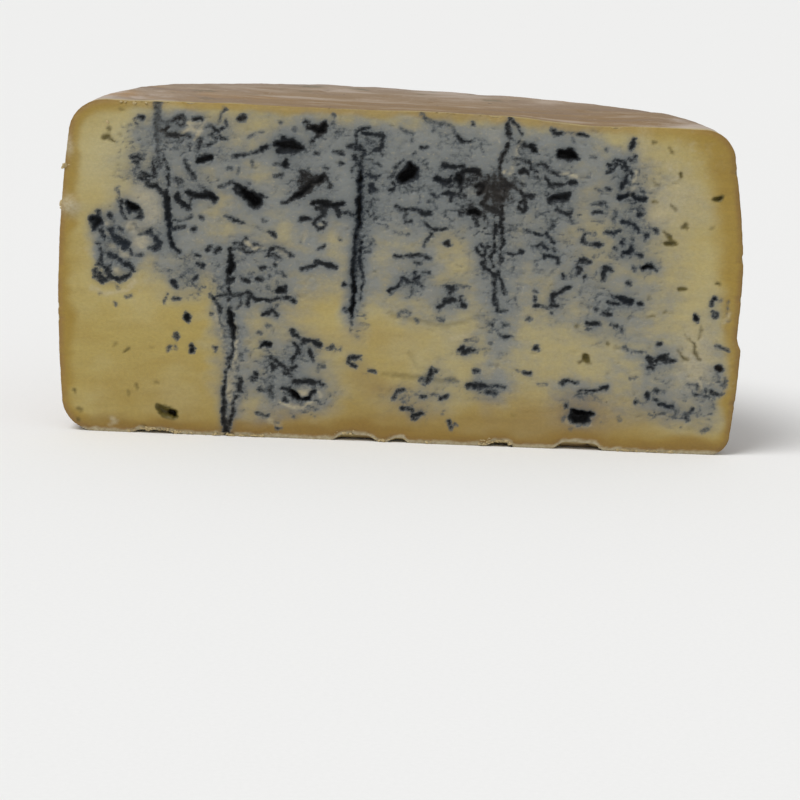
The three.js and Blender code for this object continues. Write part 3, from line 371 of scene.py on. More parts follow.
    (8.5, 12, 210, 178, 7, 225, 177, 9, 245, 179, 9, 260, 179, 7),
    (8, 6, 270, 180, 4, 290, 182, 3, 312, 178, 2.5),
    (7.5, 7, 260, 163, 5, 280, 161, 6, 295, 159, 6, 285, 153, 4), (8, 7, 71, 143, 4.5, 82, 142, 6),
    (4.5, 4, 90, 145, 4, 115, 148, 4.5), (9.5, 8, 127, 138, 4.5, 136, 140, 5.5, 147, 147, 4),
    (8, 6, 3, 158, 4, 15, 158, 4), (8, 8, 3, 150, 4, -3, 138, 5.5, -9, 133, 4.5),
    (9, 8, 15, 101, 4, 26, 104, 5.5, 35, 100, 4, 45, 94, 4),
    (9.5, 10, 50, 82, 5.5, 60, 83, 6.5, 70, 90, 5.5), (9, 7, 53, 76, 5, 53, 72, 4.5),
    (8, 6, 155, 70, 5.5, 160, 57, 3, 165, 49, 4.5), (5, 4, 173, 62, 4.5, 177, 58, 4),
    (3.5, 3, 137, 98, 5, 137, 92, 4), (7.5, 7, 70, 190, 6, 77, 184, 5),
    (9.5, 7, 480, 197, 4.5, 490, 202, 4.5, 505, 203, 3, 525, 200, 3.5), (4, 3, 415, 193, 4, 438, 193, 3.5),
    (9, 8, 532, 175, 4.5, 543, 180, 4.5, 558, 178, 3, 580, 180, 4, 595, 186, 4, 605, 190, 6.5, 615, 192, 5,
     610, 183, 5), (8, 6, 540, 168, 4, 553, 165, 3), (6, 3, 570, 168, 3, 575, 165, 2.5),
    (8.5, 7, 499, 135, 5, 496, 127, 4.5),
    (10, 44, 519, 114, 8, 532, 108, 11, 550, 105, 11.5, 567, 108, 7, 577, 106, 3.5),
    (9.5, 12, 516, 93, 4, 530, 88, 6, 547, 86, 6, 550, 75, 3), (4, 3, 652, 102, 4, 655, 90, 4),
    (4, 3, 602, 85, 3.5, 605, 83, 3.5), (4, 3, 511, 63, 4, 516, 61, 4),
    # Lower right
    (6, 4, 660, 310, 4.5, 667, 302, 3.5), (5.5, 4, 685, 298, 3, 710, 299, 4, 725, 299, 3),
    (9.5, 7, 757, 325, 5, 764, 325, 5), (9.5, 10, 730, 283, 7.5, 740, 275, 7.5, 743, 262, 5),
    (9, 8, 732, 253, 5, 745, 251, 4, 750, 257, 4.5), (9.5, 12, 755, 275, 6, 768, 285, 7.5, 784, 288, 5.5),
    (9.5, 10, 773, 278, 5, 786, 275, 7.5, 797, 276, 6, 806, 277, 3), (4.5, 4, 682, 218, 4, 696, 220, 4),
    (10, 9, 733, 172, 6, 736, 159, 6.5), (8, 6, 699, 151, 4, 701, 146, 4), (4, 3, 710, 144, 3, 730, 146, 3),
    (9.5, 7, 757, 184, 5.5, 762, 182, 5), (8.5, 6, 758, 160, 5, 763, 158, 5),
    (5, 3, 776, 183, 4, 784, 183, 3.5), (9.5, 9, 770, 145, 4, 783, 145, 5, 792, 141, 6, 810, 140, 3.5),
    (6, 5, 810, 133, 4.5, 823, 125, 4.5), (4, 3, 840, 164, 4.5, 846, 162, 4),
    (8, 8, 852, 120, 6, 849, 109, 6, 856, 105, 5), (8.5, 7, 867, 132, 5, 862, 126, 5),
    (3.5, 4, 883, 124, 7, 888, 116, 6), (5, 5, 900, 72, 4, 910, 74, 5.5, 920, 80, 4),
    (9, 8, 874, 207, 5.5, 880, 200, 4, 890, 189, 4.5, 890, 180, 4, 873, 177, 4),
    (6, 4, 850, 212, 3, 862, 208, 3), (5.5, 4, 884, 228, 3.5, 888, 222, 3.5),
    (7.5, 5, 903, 178, 4, 910, 172, 3),
    (9, 7, 900, 190, 3, 918, 191, 3.5, 924, 185, 5, 932, 182, 4, 945, 178, 3, 955, 185, 3),
    (6.5, 5, 960, 230, 3, 959, 203, 3.5, 950, 210, 3.5), (4, 5, 933, 243, 8, 942, 224, 9),
    (10, 16, 938, 262, 8, 942, 257, 7.5), (6.5, 5, 930, 323, 3.5, 945, 321, 3, 962, 312, 4.5),
    (10, 16, 857, 414, 3.5, 863, 404, 6.5, 867, 396, 4.5),
    (8.5, 7, 914, 463, 4.5, 909, 454, 3.5, 904, 447, 4.5),
    (8, 6, 908, 425, 4, 916, 420, 4.5, 924, 423, 4, 925, 413, 4, 916, 407, 3.5, 910, 415, 3.5),
    (5, 3, 927, 460, 3, 933, 460, 3), (3, 4, 954, 460, 3, 954, 445, 3, 952, 426, 3, 950, 415, 3.5),
    (3, 4, 950, 400, 3, 960, 400, 3),
    # Lower left, round the second channel
    (10, 24, -499, 558, 3, -498, 530, 6, -495, 505, 11, -502, 486, 10),
    (9.5, 12, -507, 472, 6, -496, 466, 8), (9, 12, -502, 460, 6, -500, 436, 5, -500, 400, 3.5),
    (10, 24, -498, 384, 4, -497, 360, 7.5, -490, 336, 10, -484, 316, 9, -482, 296, 6.5, -485, 284, 3),
    (9, 8, -555, 420, 4, -545, 408, 6, -535, 390, 5.5, -527, 380, 7, -525, 366, 4),
    (8.5, 8, -535, 415, 3.5, -505, 420, 4, -485, 420, 6, -460, 425, 5), (7, 6, -550, 364, 5, -546, 362, 5),
    (6, 6, -528, 350, 3.5, -521, 333, 7, -521, 314, 3.5, -508, 296, 4.5),
    (6.5, 6, -530, 440, 4, -510, 445, 5), (6.5, 6, -478, 380, 4, -468, 395, 4.5, -470, 410, 4),
    (9, 8, -445, 390, 5, -446, 414, 6, -444, 430, 5), (9, 6, -490, 363, 5, -486, 361, 4.5),
    (9.5, 8, -468, 472, 4, -453, 465, 4.5, -443, 459, 4), (6, 4, -446, 483, 4, -430, 485, 3),
    (9.5, 8, -415, 469, 6, -410, 468, 5), (8, 6, -386, 480, 5, -383, 478, 4),
    (6, 4, -390, 453, 3, -380, 440, 3, -370, 432, 3),
    (9.8, 16, -362, 435, 6, -352, 441, 10, -342, 440, 10, -338, 449, 5),
    (7.5, 6, -347, 486, 5.5, -343, 483, 5.5), (9, 8, -410, 502, 5, -402, 504, 5.5),
    (6, 4, -365, 461, 4.5, -360, 459, 4),
    (10, 9, -445, 430, 4.5, -438, 418, 7, -423, 410, 6.5, -405, 410, 5.5, -385, 410, 4.5, -365, 413, 3.5,
     -340, 419, 3, -325, 418, 3.5, -310, 411, 6, -305, 409, 5), (6, 4, -360, 395, 4, -345, 408, 3),
    (10, 9, -400, 367, 4, -387, 372, 6, -376, 376, 4.5),
    (8.5, 7, -375, 385, 4.5, -368, 372, 4, -360, 364, 6), (4.5, 4, -388, 335, 5.5, -382, 333, 5),
    (6, 4, -410, 312, 4, -406, 311, 3.5), (7, 5, -540, 262, 4, -535, 260, 4.5),
    (8.5, 16, -603, 264, 5.5, -605, 250, 6.5), (10, 20, -622, 352, 9.5, -619, 342, 7.5),
    (7.5, 7, -653, 296, 5.5, -652, 289, 5.5), (6, 5, -673, 257, 6, -671, 252, 5),
    (4.5, 4, -654, 262, 5.5, -652, 258, 5), (10, 20, -398, 274, 6, -390, 279, 7.5, -382, 275, 7.5),
    (5, 4, -447, 256, 4, -443, 254, 3.5), (4.5, 3, -334, 261, 4, -330, 259, 3.5),
    (9.5, 14, -483, 280, 3, -483, 260, 5.5, -486, 245, 4, -495, 225, 4, -498, 205, 4, -504, 180, 3.5, -508,
     160, 5, -508, 130, 6.5, -510, 110, 4.5, -508, 90, 6.5, -508, 60, 5.5, -502, 30, 6.5, -497, 5, 9, -496,
     -20, 10), (4.5, 4, -466, 300, 3, -465, 280, 3), (7.5, 6, -464, 245, 3, -460, 235, 4.5),
    (7, 4, -473, 210, 3, -472, 200, 3),
    (9, 10, -470, 180, 4, -460, 170, 6.5, -465, 155, 7.5, -462, 136, 6.5),
    (9, 10, -468, 120, 3, -480, 109, 3.5, -482, 95, 4, -476, 75, 5, -482, 60, 4, -489, 45, 4.5, -493, 25,
     5.5, -495, 0, 9), (9, 9, -420, 188, 7, -418, 174, 7), (8, 6, -430, 176, 4.5, -420, 165, 4),
    (9.5, 9, -368, 216, 7, -366, 209, 6.5),
    (9.5, 8, -375, 240, 4, -358, 230, 3.5, -343, 218, 3.5, -330, 208, 4.5, -320, 203, 5.5, -303, 210, 6.5,
     -297, 216, 5), (8.5, 8, -330, 195, 7, -315, 190, 6),
    (9, 9, -313, 322, 5.5, -303, 310, 6.5, -295, 303, 4),
    (9, 9, -308, 283, 4, -295, 272, 5.5, -291, 258, 6, -304, 245, 4.5, -311, 229, 4),
    (9.5, 10, -283, 294, 5.5, -270, 293, 5.5, -255, 292, 5, -240, 288, 9, -234, 283, 9),
    (8, 6, -286, 284, 4.5, -276, 286, 4.5), (9.5, 9, -260, 265, 6, -254, 253, 6, -250, 238, 4),
    (7.5, 5, -208, 273, 4.5, -195, 277, 5, -180, 271, 4, -170, 272, 3),
    (9, 8, -144, 245, 5.5, -128, 248, 5.5, -114, 250, 4.5),
    (8.5, 7, -146, 236, 4.5, -135, 226, 4.5, -128, 224, 4), (7.5, 6, -84, 212, 3, -66, 209, 4.5),
    (8.5, 7, -405, 143, 5, -396, 144, 4, -385, 140, 3), (6.5, 5, -386, 172, 4.5, -388, 160, 4),
    (7.5, 6, -365, 182, 6, -361, 177, 5), (6.5, 9, -370, 155, 7, -370, 135, 7, -365, 116, 4.5),
    (8.5, 8, -335, 150, 7, -320, 148, 7),
    (10, 34, -310, 140, 8, -300, 129, 11, -289, 120, 9.5, -275, 117, 6, -259, 123, 6),
    (9.5, 14, -259, 123, 6, -250, 135, 6.5, -242, 150, 6), (9, 7, -328, 116, 6, -323, 107, 4),
    (9.5, 12, -304, 170, 7, -280, 169, 9, -260, 170, 8.5, -244, 167, 8),
    (8.5, 6, -229, 170, 4.5, -218, 163, 5.5), (5, 6, -233, 220, 7, -217, 218, 6, -235, 205, 5),
    (6, 3, -280, 97, 2.5, -265, 95, 2.5), (4, 3, -301, 66, 4.5, -297, 64, 4),
    (7.5, 7, -410, 73, 4.5, -396, 70, 5.5, -386, 63, 5.5, -374, 64, 3.5), (5, 4, -352, 45, 5, -348, 43, 5),
    (7, 5, -345, 30, 4.5, -335, 29, 4),
)
# Olive marks in the clear paste, in the same form.
OLIVE_MARKS = (
    (6, 6, -798, 238, 5, -790, 246, 4), (3.5, 3, -833, 258, 4.5, -826, 262, 4),
    (4, 3, -728, 257, 4.5, -723, 255, 4), (4.5, 4, -768, 142, 5, -764, 134, 4.5),
    (4, 3, -787, 121, 4, -786, 114, 4), (3.5, 3, -712, 151, 4, -705, 150, 3.5),
    (5.5, 4, -947, 121, 4, -946, 115, 4), (5, 5, -933, 67, 6, -928, 62, 6),
    (4.5, 4, -935, 34, 5, -930, 33, 5), (4, 3, -743, 23, 4.5, -737, 22, 4),
    (9.5, 15, -698, 80, 8, -686, 68, 15, -668, 64, 16, -656, 62, 14), (10, 34, -668, 69, 5, -652, 61, 10),
    (3, 2, -30, 382, 7, 40, 366, 9, 120, 353, 9, 180, 362, 8, 220, 385, 6),
    (3.5, 3, -40, 204, 7, 40, 196, 9, 120, 190, 9, 170, 194, 7),
    (2.5, 2, 30, 270, 6, 60, 226, 7, 110, 220, 5),
    (6, 10, -873, 864, 6, -862, 866, 8, -850, 860, 5, -840, 854, 3), (5, 5, -860, 892, 5.5, -859, 886, 5),
    (3.5, 3, -828, 876, 4.5, -824, 874, 4.5), (4, 3, -827, 946, 4, -823, 944, 4),
    (8.5, 12, 544, 284, 6, 550, 275, 8.5, 554, 266, 5.5), (4.5, 4, 540, 268, 4, 528, 259, 4),
    (4.5, 4, 556, 266, 4, 562, 258, 3.5), (5.5, 5, 514, 369, 4.5, 517, 367, 4.5),
    (5, 5, 609, 323, 4.5, 611, 320, 4.5), (7.5, 5, 721, 741, 3.5, 726, 741, 3.5),
    (5, 3, 717, 796, 2.5, 719, 788, 3, 736, 789, 3), (9.5, 14, 766, 622, 5.5, 780, 623, 8.5, 791, 623, 4),
    (7.5, 6, 757, 650, 3.5, 766, 643, 3.5, 773, 634, 5), (5.5, 4, 768, 732, 3, 782, 723, 4.5),
    (8, 6, 794, 826, 4.5, 795, 814, 3), (6, 4, 758, 898, 3, 767, 884, 4), (5, 4, 710, 910, 4.5, 718, 911, 4),
    (6.5, 5, 806, 667, 3, 815, 669, 4, 817, 683, 3), (9.5, 18, 896, 755, 5.5, 905, 756, 7.5, 913, 760, 5.5),
    (4, 3, 893, 671, 4, 897, 670, 3.5), (6.5, 6, 918, 512, 5.5, 923, 510, 5),
    (8, 5, 808, 489, 3, 822, 489, 4), (5, 4, 768, 420, 4, 773, 420, 3.5), (5, 4, 720, 404, 3, 740, 404, 3.5),
    (4, 3, 722, 465, 3, 722, 455, 3), (4, 3, 340, 97, 4.5, 347, 97, 4),
    # Fine cracks in the crumbly paste near the right end
    (5.5, 8, 835, 353, 1.5, 850, 340, 2, 860, 330, 2.5, 865, 315, 3.5, 868, 303, 4, 880, 283, 2.5),
    (4.5, 6, 875, 345, 2, 880, 365, 2.5, 877, 385, 2), (5.5, 7, 814, 310, 2, 826, 292, 3, 844, 278, 2.5),
)
PALE_MARKS = (  # curls and edges of pale curd beside the mould, in the same form
    (9, 0, -654, 884, 3, -628, 896, 4, -601, 893, 4.5, -610, 869, 3),
    (7, 0, -585, 920, 3, -605, 912, 3.5, -625, 918, 3), (9, 0, -459, 578, 3.5, -429, 556, 4, -414, 565, 3.5),
    (8, 0, -365, 560, 3, -336, 545, 4), (7, 0, -282, 623, 1, -288, 606, 2, -292, 585, 1),
    (8, 0, -799, 624, 4, -786, 616, 4), (8, 0, -775, 563, 5, -758, 553, 4),
    (7, 0, -900, 426, 4, -866, 409, 5, -835, 414, 4, -800, 422, 5, -776, 446, 4),
    (6, 0, -723, 673, 5, -743, 653, 4, -746, 628, 3),
    (7, 0, 330, 902, 1, 318, 865, 1, 306, 820, 1.5, 300, 806, 3.5), (9, 0, 480, 806, 3.5, 490, 802, 4),
    (7.5, 0, 666, 826, 2, 660, 790, 3, 649, 756, 2), (3.5, 0, 203, 778, 4, 190, 760, 5, 194, 744, 4),
    (8.5, 0, -482, 342, 2, -476, 290, 3, -478, 240, 3, -489, 210, 2),
    (7.5, 0, -544, 394, 2, -534, 350, 3, -518, 300, 3), (8, 0, -494, 156, 5, -497, 130, 5, -492, 108, 3),
    (9, 0, -286, 140, 5, -270, 136, 6), (9, 0, -344, 106, 2.5, -310, 95, 3.5, -274, 94, 3, -254, 110, 3),
    (7, 0, -236, 150, 3, -226, 130, 3.5), (6, 0, -394, 66, 3, -364, 48, 4, -340, 36, 4),
    (7, 0, -834, 44, 3, -824, 30, 4, -836, 22, 3), (8, 0, 866, 236, 5, 884, 216, 6, 888, 186, 5),
    (7, 0, 956, 418, 4, 948, 396, 4), (6, 0, 504, 84, 3, 536, 72, 4, 570, 78, 3),
    (7, 0, 154, 316, 3, 190, 326, 4, 224, 314, 3),
)
# Clouds over the cut, in millimetres: place x, z, half width, half height, strength.
CRUMBLED = (  # where the paste breaks into pale flakes
    (78, 78, 8, 14, 0.9), (90, 28, 7, 12, 0.8), (-75, 64, 6, 8, 0.6), (-62, 88, 8, 6, 0.7),
    (-28, 13, 8, 6, 0.7), (-49, 20, 4, 18, 0.7), (84, 20, 10, 8, 0.6), (-83, 54, 8, 11, 0.8),
    (-82, 42, 6, 3, 0.6), (-58, 50, 6, 6, 0.7), (-42, 56, 8, 5, 0.6), (29, 80, 6, 14, 0.5),
    (66, 76, 5, 8, 0.5), (-20, 64, 6, 5, 0.4), (28, 54, 5, 8, 0.5),
)
SMUDGED = (  # where mould fills the gaps between the marks with smudges and specks
    (-65, 88, 13, 8, 0.8), (-75, 78, 6, 8, 0.9), (-62, 77, 7, 7, 0.6), (-84, 56, 7, 10, 0.55),
    (-70, 60, 5, 6, 0.45), (-63, 47, 7, 7, 0.6), (-51, 45, 6, 7, 0.8), (-49, 28, 3, 13, 0.8),
    (-49, 8, 3, 9, 0.9), (-38, 47, 9, 6, 0.7), (-33, 20, 11, 10, 0.8), (-27, 13, 7, 5, 0.8),
    (-34, 86, 8, 6, 0.6), (-26, 75.5, 6, 5, 0.95), (-45, 55, 8, 4, 0.5), (-25, 92, 6, 4, 0.8),
    (-9, 87, 5.5, 5.5, 0.9), (-12.2, 62, 2.4, 33, 0.9), (-9, 72, 6, 9, 0.5), (2, 79, 6, 6, 0.8),
    (15, 76, 9, 6, 0.9), (27, 72, 6, 10, 1), (22, 71, 9, 8, 0.55), (42, 78, 11, 6, 0.75),
    (47, 70, 6, 5, 0.6), (36, 85, 6, 6, 0.7), (15, 92, 8, 4, 0.6), (-3, 91, 6, 4, 0.5),
    (67, 67, 8, 13, 0.85), (64, 80, 7, 5, 0.7), (27, 53, 6, 7, 0.8), (53, 51, 6, 5, 0.7),
    (4, 48, 7, 4, 0.7), (40, 59, 7, 6, 0.6), (15, 43, 6, 5, 0.6), (29, 42, 4, 12, 0.7), (23, 29, 7, 4, 0.5),
    (26, 16.5, 7, 3, 0.8), (10, 22, 3, 4, 0.5), (4, 12, 10, 5, 0.5), (46, 42, 6, 6, 0.5),
    (65, 44, 9, 5, 0.7), (60, 36, 8, 3, 0.5), (77, 26, 7, 5, 0.75), (55, 16, 9, 3, 0.5), (53, 9, 5, 3, 0.6),
    (80, 12, 11, 5, 0.75), (93, 18, 6, 6, 0.6), (93, 42, 3, 4, 0.5), (8, 68, 22, 14, 0.35),
    (50, 66, 16, 14, 0.3), (-36, 72, 20, 16, 0.25), (52, 91, 6, 3, 0.5), (-80, 92, 3, 3, 0.5),
    (20, 84, 10, 5, 0.4),
)
GREYED = (  # where mould has greyed the paste
    (-3, 77, 74, 25.5, 0.97), (-30, 55, 36, 12, 0.75), (-81, 57, 8, 11, 0.9), (-49, 26, 6, 30, 0.7),
    (-31, 19, 14, 14, 0.8), (-13, 44, 4, 14, 0.6), (20, 53, 40, 9, 0.5), (29, 28, 6, 22, 0.55),
    (52, 50, 28, 16, 0.45), (66, 42, 16, 9, 0.35), (78, 26, 16, 12, 0.45), (84, 14, 14, 8, 0.6),
    (55, 88, 18, 9, 0.6), (36, 88, 20, 9, 0.6), (-71, 65, 7, 9, 0.65), (-68, 87, 11.5, 9, 0.85),
    (92, 36, 7, 18, 0.4), (56, 13, 12, 9, 0.5), (10, 42, 20, 6, 0.45), (5, 13, 14, 7, 0.4),
    (42, 27, 50, 18, 0.45), (78, 66, 10, 24, 0.3), (-38, 5, 8, 5, 0.5), (-38, 37, 10, 8, 0.5),
    (-65, 52, 12, 13, 0.6),
)
WARMED = (  # paste that the mould has left clear inside its own ground
    (-39, 77, 5, 5, 0.6), (-48, 61, 7, 4, 0.5), (-36, 60, 5, 5, 0.6), (-18, 55, 5, 8, 0.7),
    (-44, 88, 6, 3, 0.4), (16, 56, 6, 8, 0.6), (62, 92, 6, 3, 0.6), (56, 65, 6, 4, 0.5), (8, 60, 6, 5, 0.5),
    (-3, 58, 5, 6, 0.5), (34, 66, 4, 5, 0.4), (50, 84, 5, 3, 0.3), (-56, 70, 4, 4, 0.4),
    (44, 47, 5, 4, 0.4), (58, 57, 4, 4, 0.4),
)
BLUED = (  # where the mould is fresh and blue
    (-81, 56, 9, 8, 1), (-70, 60, 6, 6, 0.8), (-12, 70, 5, 22, 0.9), (7, 74, 9, 9, 0.6), (65, 63, 7, 12, 1),
    (62, 76, 7, 9, 0.6), (4, 48, 8, 5, 0.7), (-62, 47, 7, 6, 0.6), (82, 14, 10, 4, 0.8),
    (30, 28, 3, 16, 0.6), (26, 17, 9, 3, 0.5), (64, 44, 9, 3, 0.6), (92, 43, 3, 5, 0.6),
    (42, 60, 8, 10, 0.5), (-34, 86, 8, 6, 0.3), (-13, 45, 3, 14, 0.7),
)
BROWNED = (  # where the mould is old, dry and brown
    (26, 75, 7, 7, 0.9), (-71.5, 92, 2.5, 9, 1), (-28, 76, 6, 5, 0.6), (-26, 92, 4, 3, 0.7),
    (28, 86, 3, 9, 0.5), (-47, 93, 3, 2, 0.8), (13, 60, 2, 2, 0.6), (94, 26, 4, 5, 0.8),
    (-49, 6, 3, 8, 0.5), (19, 94, 2, 2, 0.8), (78, 63, 4, 3, 0.8), (90, 76, 3, 2, 0.8), (16, 19, 5, 2, 0.7),
    (-66, 90, 6, 5, 0.5),
)
PALED = (  # pale crumbly curd that the mould has gone round
    (-76, 70, 5, 4, 0.6), (-73, 64, 4, 4, 0.5), (-76.5, 57, 3, 3, 0.7), (-79, 61, 2, 1.4, 0.8),
    (-84.5, 54.5, 1.6, 1, 0.7), (-81, 52.6, 2, 1, 0.7), (-86, 61.5, 1.4, 1.2, 0.6),
    (-83.4, 48.3, 1.2, 1, 0.7), (-63, 91.5, 1.2, 0.7, 1), (-60, 90, 1, 2, 0.8), (28.3, 81, 0.8, 0.8, 1),
    (46.2, 81.2, 1, 0.7, 0.8), (65.6, 80, 0.5, 3, 0.7), (19, 75, 2.4, 1.6, 0.3), (73, 70, 4, 3, 0.5),
    (78, 76, 6, 5, 0.4), (87, 28, 5, 9, 0.6), (-27.5, 14, 2, 1.6, 0.9), (-49, 14, 1.4, 5, 0.7),
    (-47.8, 22.5, 1.2, 4, 0.5), (-96.5, 66.5, 3, 2.6, 1), (-98, 84, 1.5, 3, 0.7), (-42, 56, 2.2, 0.6, 0.8),
    (-23.5, 63.7, 1, 0.7, 0.7), (68, 92, 2, 6, 0.3),
)
MILKED = (  # milky, paler paste
    (-86, 84, 13, 15, 0.98), (-4, 60, 12, 5, 0.4), (44, 34, 22, 12, 0.25), (8, 32, 20, 12, 0.25),
    (-20, 36, 12, 7, 0.2), (30, 65, 8, 5, 0.3), (80, 76, 9, 14, 0.5), (-93, 50, 4, 16, 0.2),
    (-64, 72, 8, 8, 0.4), (70, 30, 22, 16, 0.3), (90, 50, 8, 20, 0.3), (40, 18, 14, 8, 0.1),
    (7, 26, 4, 3, 0.5), (-75, 38, 8, 5, 0.3),
)
OCHRED = (  # ochre paste that spreads in from the rind
    (93, 91, 10, 5.5, 0.85), (97.5, 76, 4, 12, 0.5), (-92, 93, 5, 3, 0.4), (60, 95, 8, 2, 0.5),
)
SHADED = (  # deeper, oily paste; the clouds low on the cut are painted shade along the base
    (-8, 16.5, 8, 4, 0.6), (-12, 3, 26, 7, 0.8), (-68, 8, 18, 11, 0.35), (50, 6, 26, 8, 0.7),
    (30, 2, 50, 6, 0.5), (95, 88, 7, 9, 0.3), (-8, 30, 12, 6, 0.3),
)

# ---- Fineness of the mesh ----

CUT_COLUMNS = 396
CUT_ROWS = 190
RIND_COLUMNS = 112  # along the cut
RIND_ROWS = 44  # back from the cut, over the top and the base
CORNER_ROWS = 9
SIDE_ROWS = 44
RIND_START = 1.3  # how far behind the cut the coarser mesh of the rind starts


# ---- Numbers and noise ----


def mix(a, b, t):
    """From a at 0 to b at 1."""
    return a + (b - a) * t


def smooth(low, high, value):
    """0 at low and 1 at high, eased at both ends; low may be the larger one."""
    t = np.clip((value - low) / (high - low), 0, 1)
    return t * t * (3 - 2 * t)


def bump(distance, width):
    """1 at no distance, fading out over about twice the width."""
    return np.exp(-((distance / width) ** 2))


LATTICE = 32  # the noise repeats after this many waves
_gradients = {}  # of each seed, at the points of its lattice


def noise(x, y, z, seed):
    """Gradient noise from about -1 to 1 with waves about one unit long, the same for the same seed."""
    if seed not in _gradients:
        vectors = np.random.default_rng(seed).normal(size=(LATTICE, LATTICE, LATTICE, 3))
        _gradients[seed] = vectors / np.linalg.norm(vectors, axis=-1, keepdims=True)
    x, y, z = np.broadcast_arrays(x, y, z)
    cells = [np.floor(c).astype(int) for c in (x, y, z)]
    parts = [c - cell for c, cell in zip((x, y, z), cells)]
    eases = [t * t * t * (t * (t * 6 - 15) + 10) for t in parts]
    total = 0
    for corner in range(8):
        steps = (corner & 1, corner >> 1 & 1, corner >> 2 & 1)
        gradient = _gradients[seed][tuple((cell + s) % LATTICE for cell, s in zip(cells, steps))]
        weight = 1
        dot = 0
        for axis, step in enumerate(steps):
            weight = weight * (eases[axis] if step else 1 - eases[axis])
            dot = dot + gradient[..., axis] * (parts[axis] - step)
        total = total + weight * dot
    return 1.7 * total  # which brings it to about -1 to 1


def fractal(x, y, z, seed, octaves=3, fade=0.55):
    """Noise with finer and fainter noise laid over it, one layer for each octave."""
    total = 0
    reach = 0
    for octave in range(octaves):
        scale = 2**octave
        total = total + fade**octave * noise(x * scale, y * scale, z * scale, seed + octave)
        reach += fade**octave
    return total / reach


def cut_noise(x, z, wide, high, seed, octaves=1):
    """Noise over the cut, with waves of the given width and height in millimetres."""
    return fractal(x / wide, 0.37, z / high, seed, octaves)


# ---- Form of the wheel ----


def between(values, along):
    """Values spread evenly over 0 to 1, joined by straight lines."""
    return np.interp(along, np.linspace(0, 1, len(values)), values)


def section_at(angle):
    """Radii and corners of the side at an angle round the wheel, from the right end of the cut."""
    along = (1 - np.cos(angle)) / 2
    return {key: between(values, along) for key, values in SECTIONS.items()}


def side_radius(section, share):
    """Radius at a share of the side's height, on a curve through the low, middle and high ones."""
    low, middle, high = section["low"], section["middle"], section["high"]
    slope = 4 * middle - 3 * low - high
    bend = 2 * (low + high - 2 * middle)
    return low + slope * share + bend * share**2


def rim_rise(angle):
    """How much the rim of the top stands up at an angle round the wheel."""
    along = np.clip(angle / math.pi, 0, 1) * (len(RIM_RISES) - 1)
    first = np.minimum(np.floor(along).astype(int), len(RIM_RISES) - 2)
    rises = np.array(RIM_RISES)
    return mix(rises[first], rises[first + 1], smooth(0, 1, along - first))


def top_height(x, depth):
    """Height of the top at a place; depth is measured back from the cut."""
    rim = rim_rise(np.arctan2(depth, x)) * bump(np.hypot(x, depth) - RIM_RADIUS, RIM_WIDTH)
    dip = TOP_DIP["depth"] * bump(x - TOP_DIP["x"], TOP_DIP["width"]) * bump(depth, TOP_DIP["reach"])
    waves = TOP_WAVE * (np.sin(x / 17 + depth / 29) + np.sin(depth / 13 - x / 31 + 2))
    return HEIGHT - TOP_FALL * x + rim - dip + waves


def wobble(angle, height):
    """How far the side swells out or in; it is round at the cut, the base and the top."""
    slow = 0.5 * np.sin(3 * angle + height / 60 + 0.7)
    middling = 0.3 * np.sin(7 * angle - height / 23 + 2.1)
    quick = 0.2 * np.sin(11 * angle + height / 9)
    fade = np.abs(np.sin(angle)) * np.sin(math.pi * height / HEIGHT)
    return RIND_WOBBLE * (slow + middling + quick) * fade


def flake_gap(angle, height, depth):
    """How deep the side is where a flake of rind came off the right edge of the cut."""
    ledge = smooth(FLAKE["ledge"] - 0.5, FLAKE["ledge"] + 0.3, height)
    up = ledge * smooth(FLAKE["top"], FLAKE["ledge"], height)
    back = smooth(FLAKE["long"], FLAKE["long"] / 3, depth)
    return FLAKE["deep"] * up * back * (angle < 1)


def torn_base(x, depth):
    """How high the torn places of the lower edge reach, near the cut."""
    height = 0.25 * smooth(0, 0.8, cut_noise(x, 0, 3, 3, seed=301, octaves=2))
    for place, wide, high in TEARS:
        ragged = x + 1.2 * cut_noise(x, 0, 4, 4, seed=302)
        height = np.maximum(height, high * smooth(wide / 2, wide / 5, np.abs(ragged - place)))
    return height * smooth(TEAR_DEEP, 0.5, depth)


def wall_rows():
    """The rows of the side, from the base's edge to the top's edge: kind and share along it."""
    rows = [("base", i / CORNER_ROWS) for i in range(CORNER_ROWS + 1)]
    rows += [("side", i / SIDE_ROWS) for i in range(1, SIDE_ROWS)]
    rows += [("top", i / CORNER_ROWS) for i in range(CORNER_ROWS + 1)]
    return rows


def wall(angles, rows):
    """Points of the side as an array of rows by angles by (x, depth, height)."""
    section = section_at(angles)
    shoulder = HEIGHT - section["top_corner"]
    grid = []
    for kind, share in rows:
        turn = share * math.pi / 2
        if kind == "base":
            radius = section["low"] - section["base_corner"] * (1 - math.sin(turn))
            height = section["base_corner"] * (1 - math.cos(turn))
        elif kind == "side":
            radius = side_radius(section, share)
            height = mix(section["base_corner"], shoulder, share)
        else:
            radius = section["high"] - section["top_corner"] * (1 - math.cos(turn))
            height = shoulder + section["top_corner"] * math.sin(turn)
        radius = radius + wobble(angles, height)
        depth = radius * np.sin(angles)
        radius = radius - flake_gap(angles, height, depth)
        x = radius * np.cos(angles)
        depth = radius * np.sin(angles)
        grid.append(np.stack([x, depth, height * top_height(x, depth) / HEIGHT], -1))
    return np.array(grid)


def patch(low, high, left, right):
    """A grid of points spanned by its four edges: low and high run left to right, left and right run up."""
    u = np.linspace(0, 1, len(low))[None, :, None]
    v = np.linspace(0, 1, len(left))[:, None, None]
    sides = mix(left[:, None], right[:, None], u)
    ends = mix(low[None], high[None], v)
    corners = mix(mix(low[0], low[-1], u), mix(high[0], high[-1], u), v)
    return sides + ends - corners


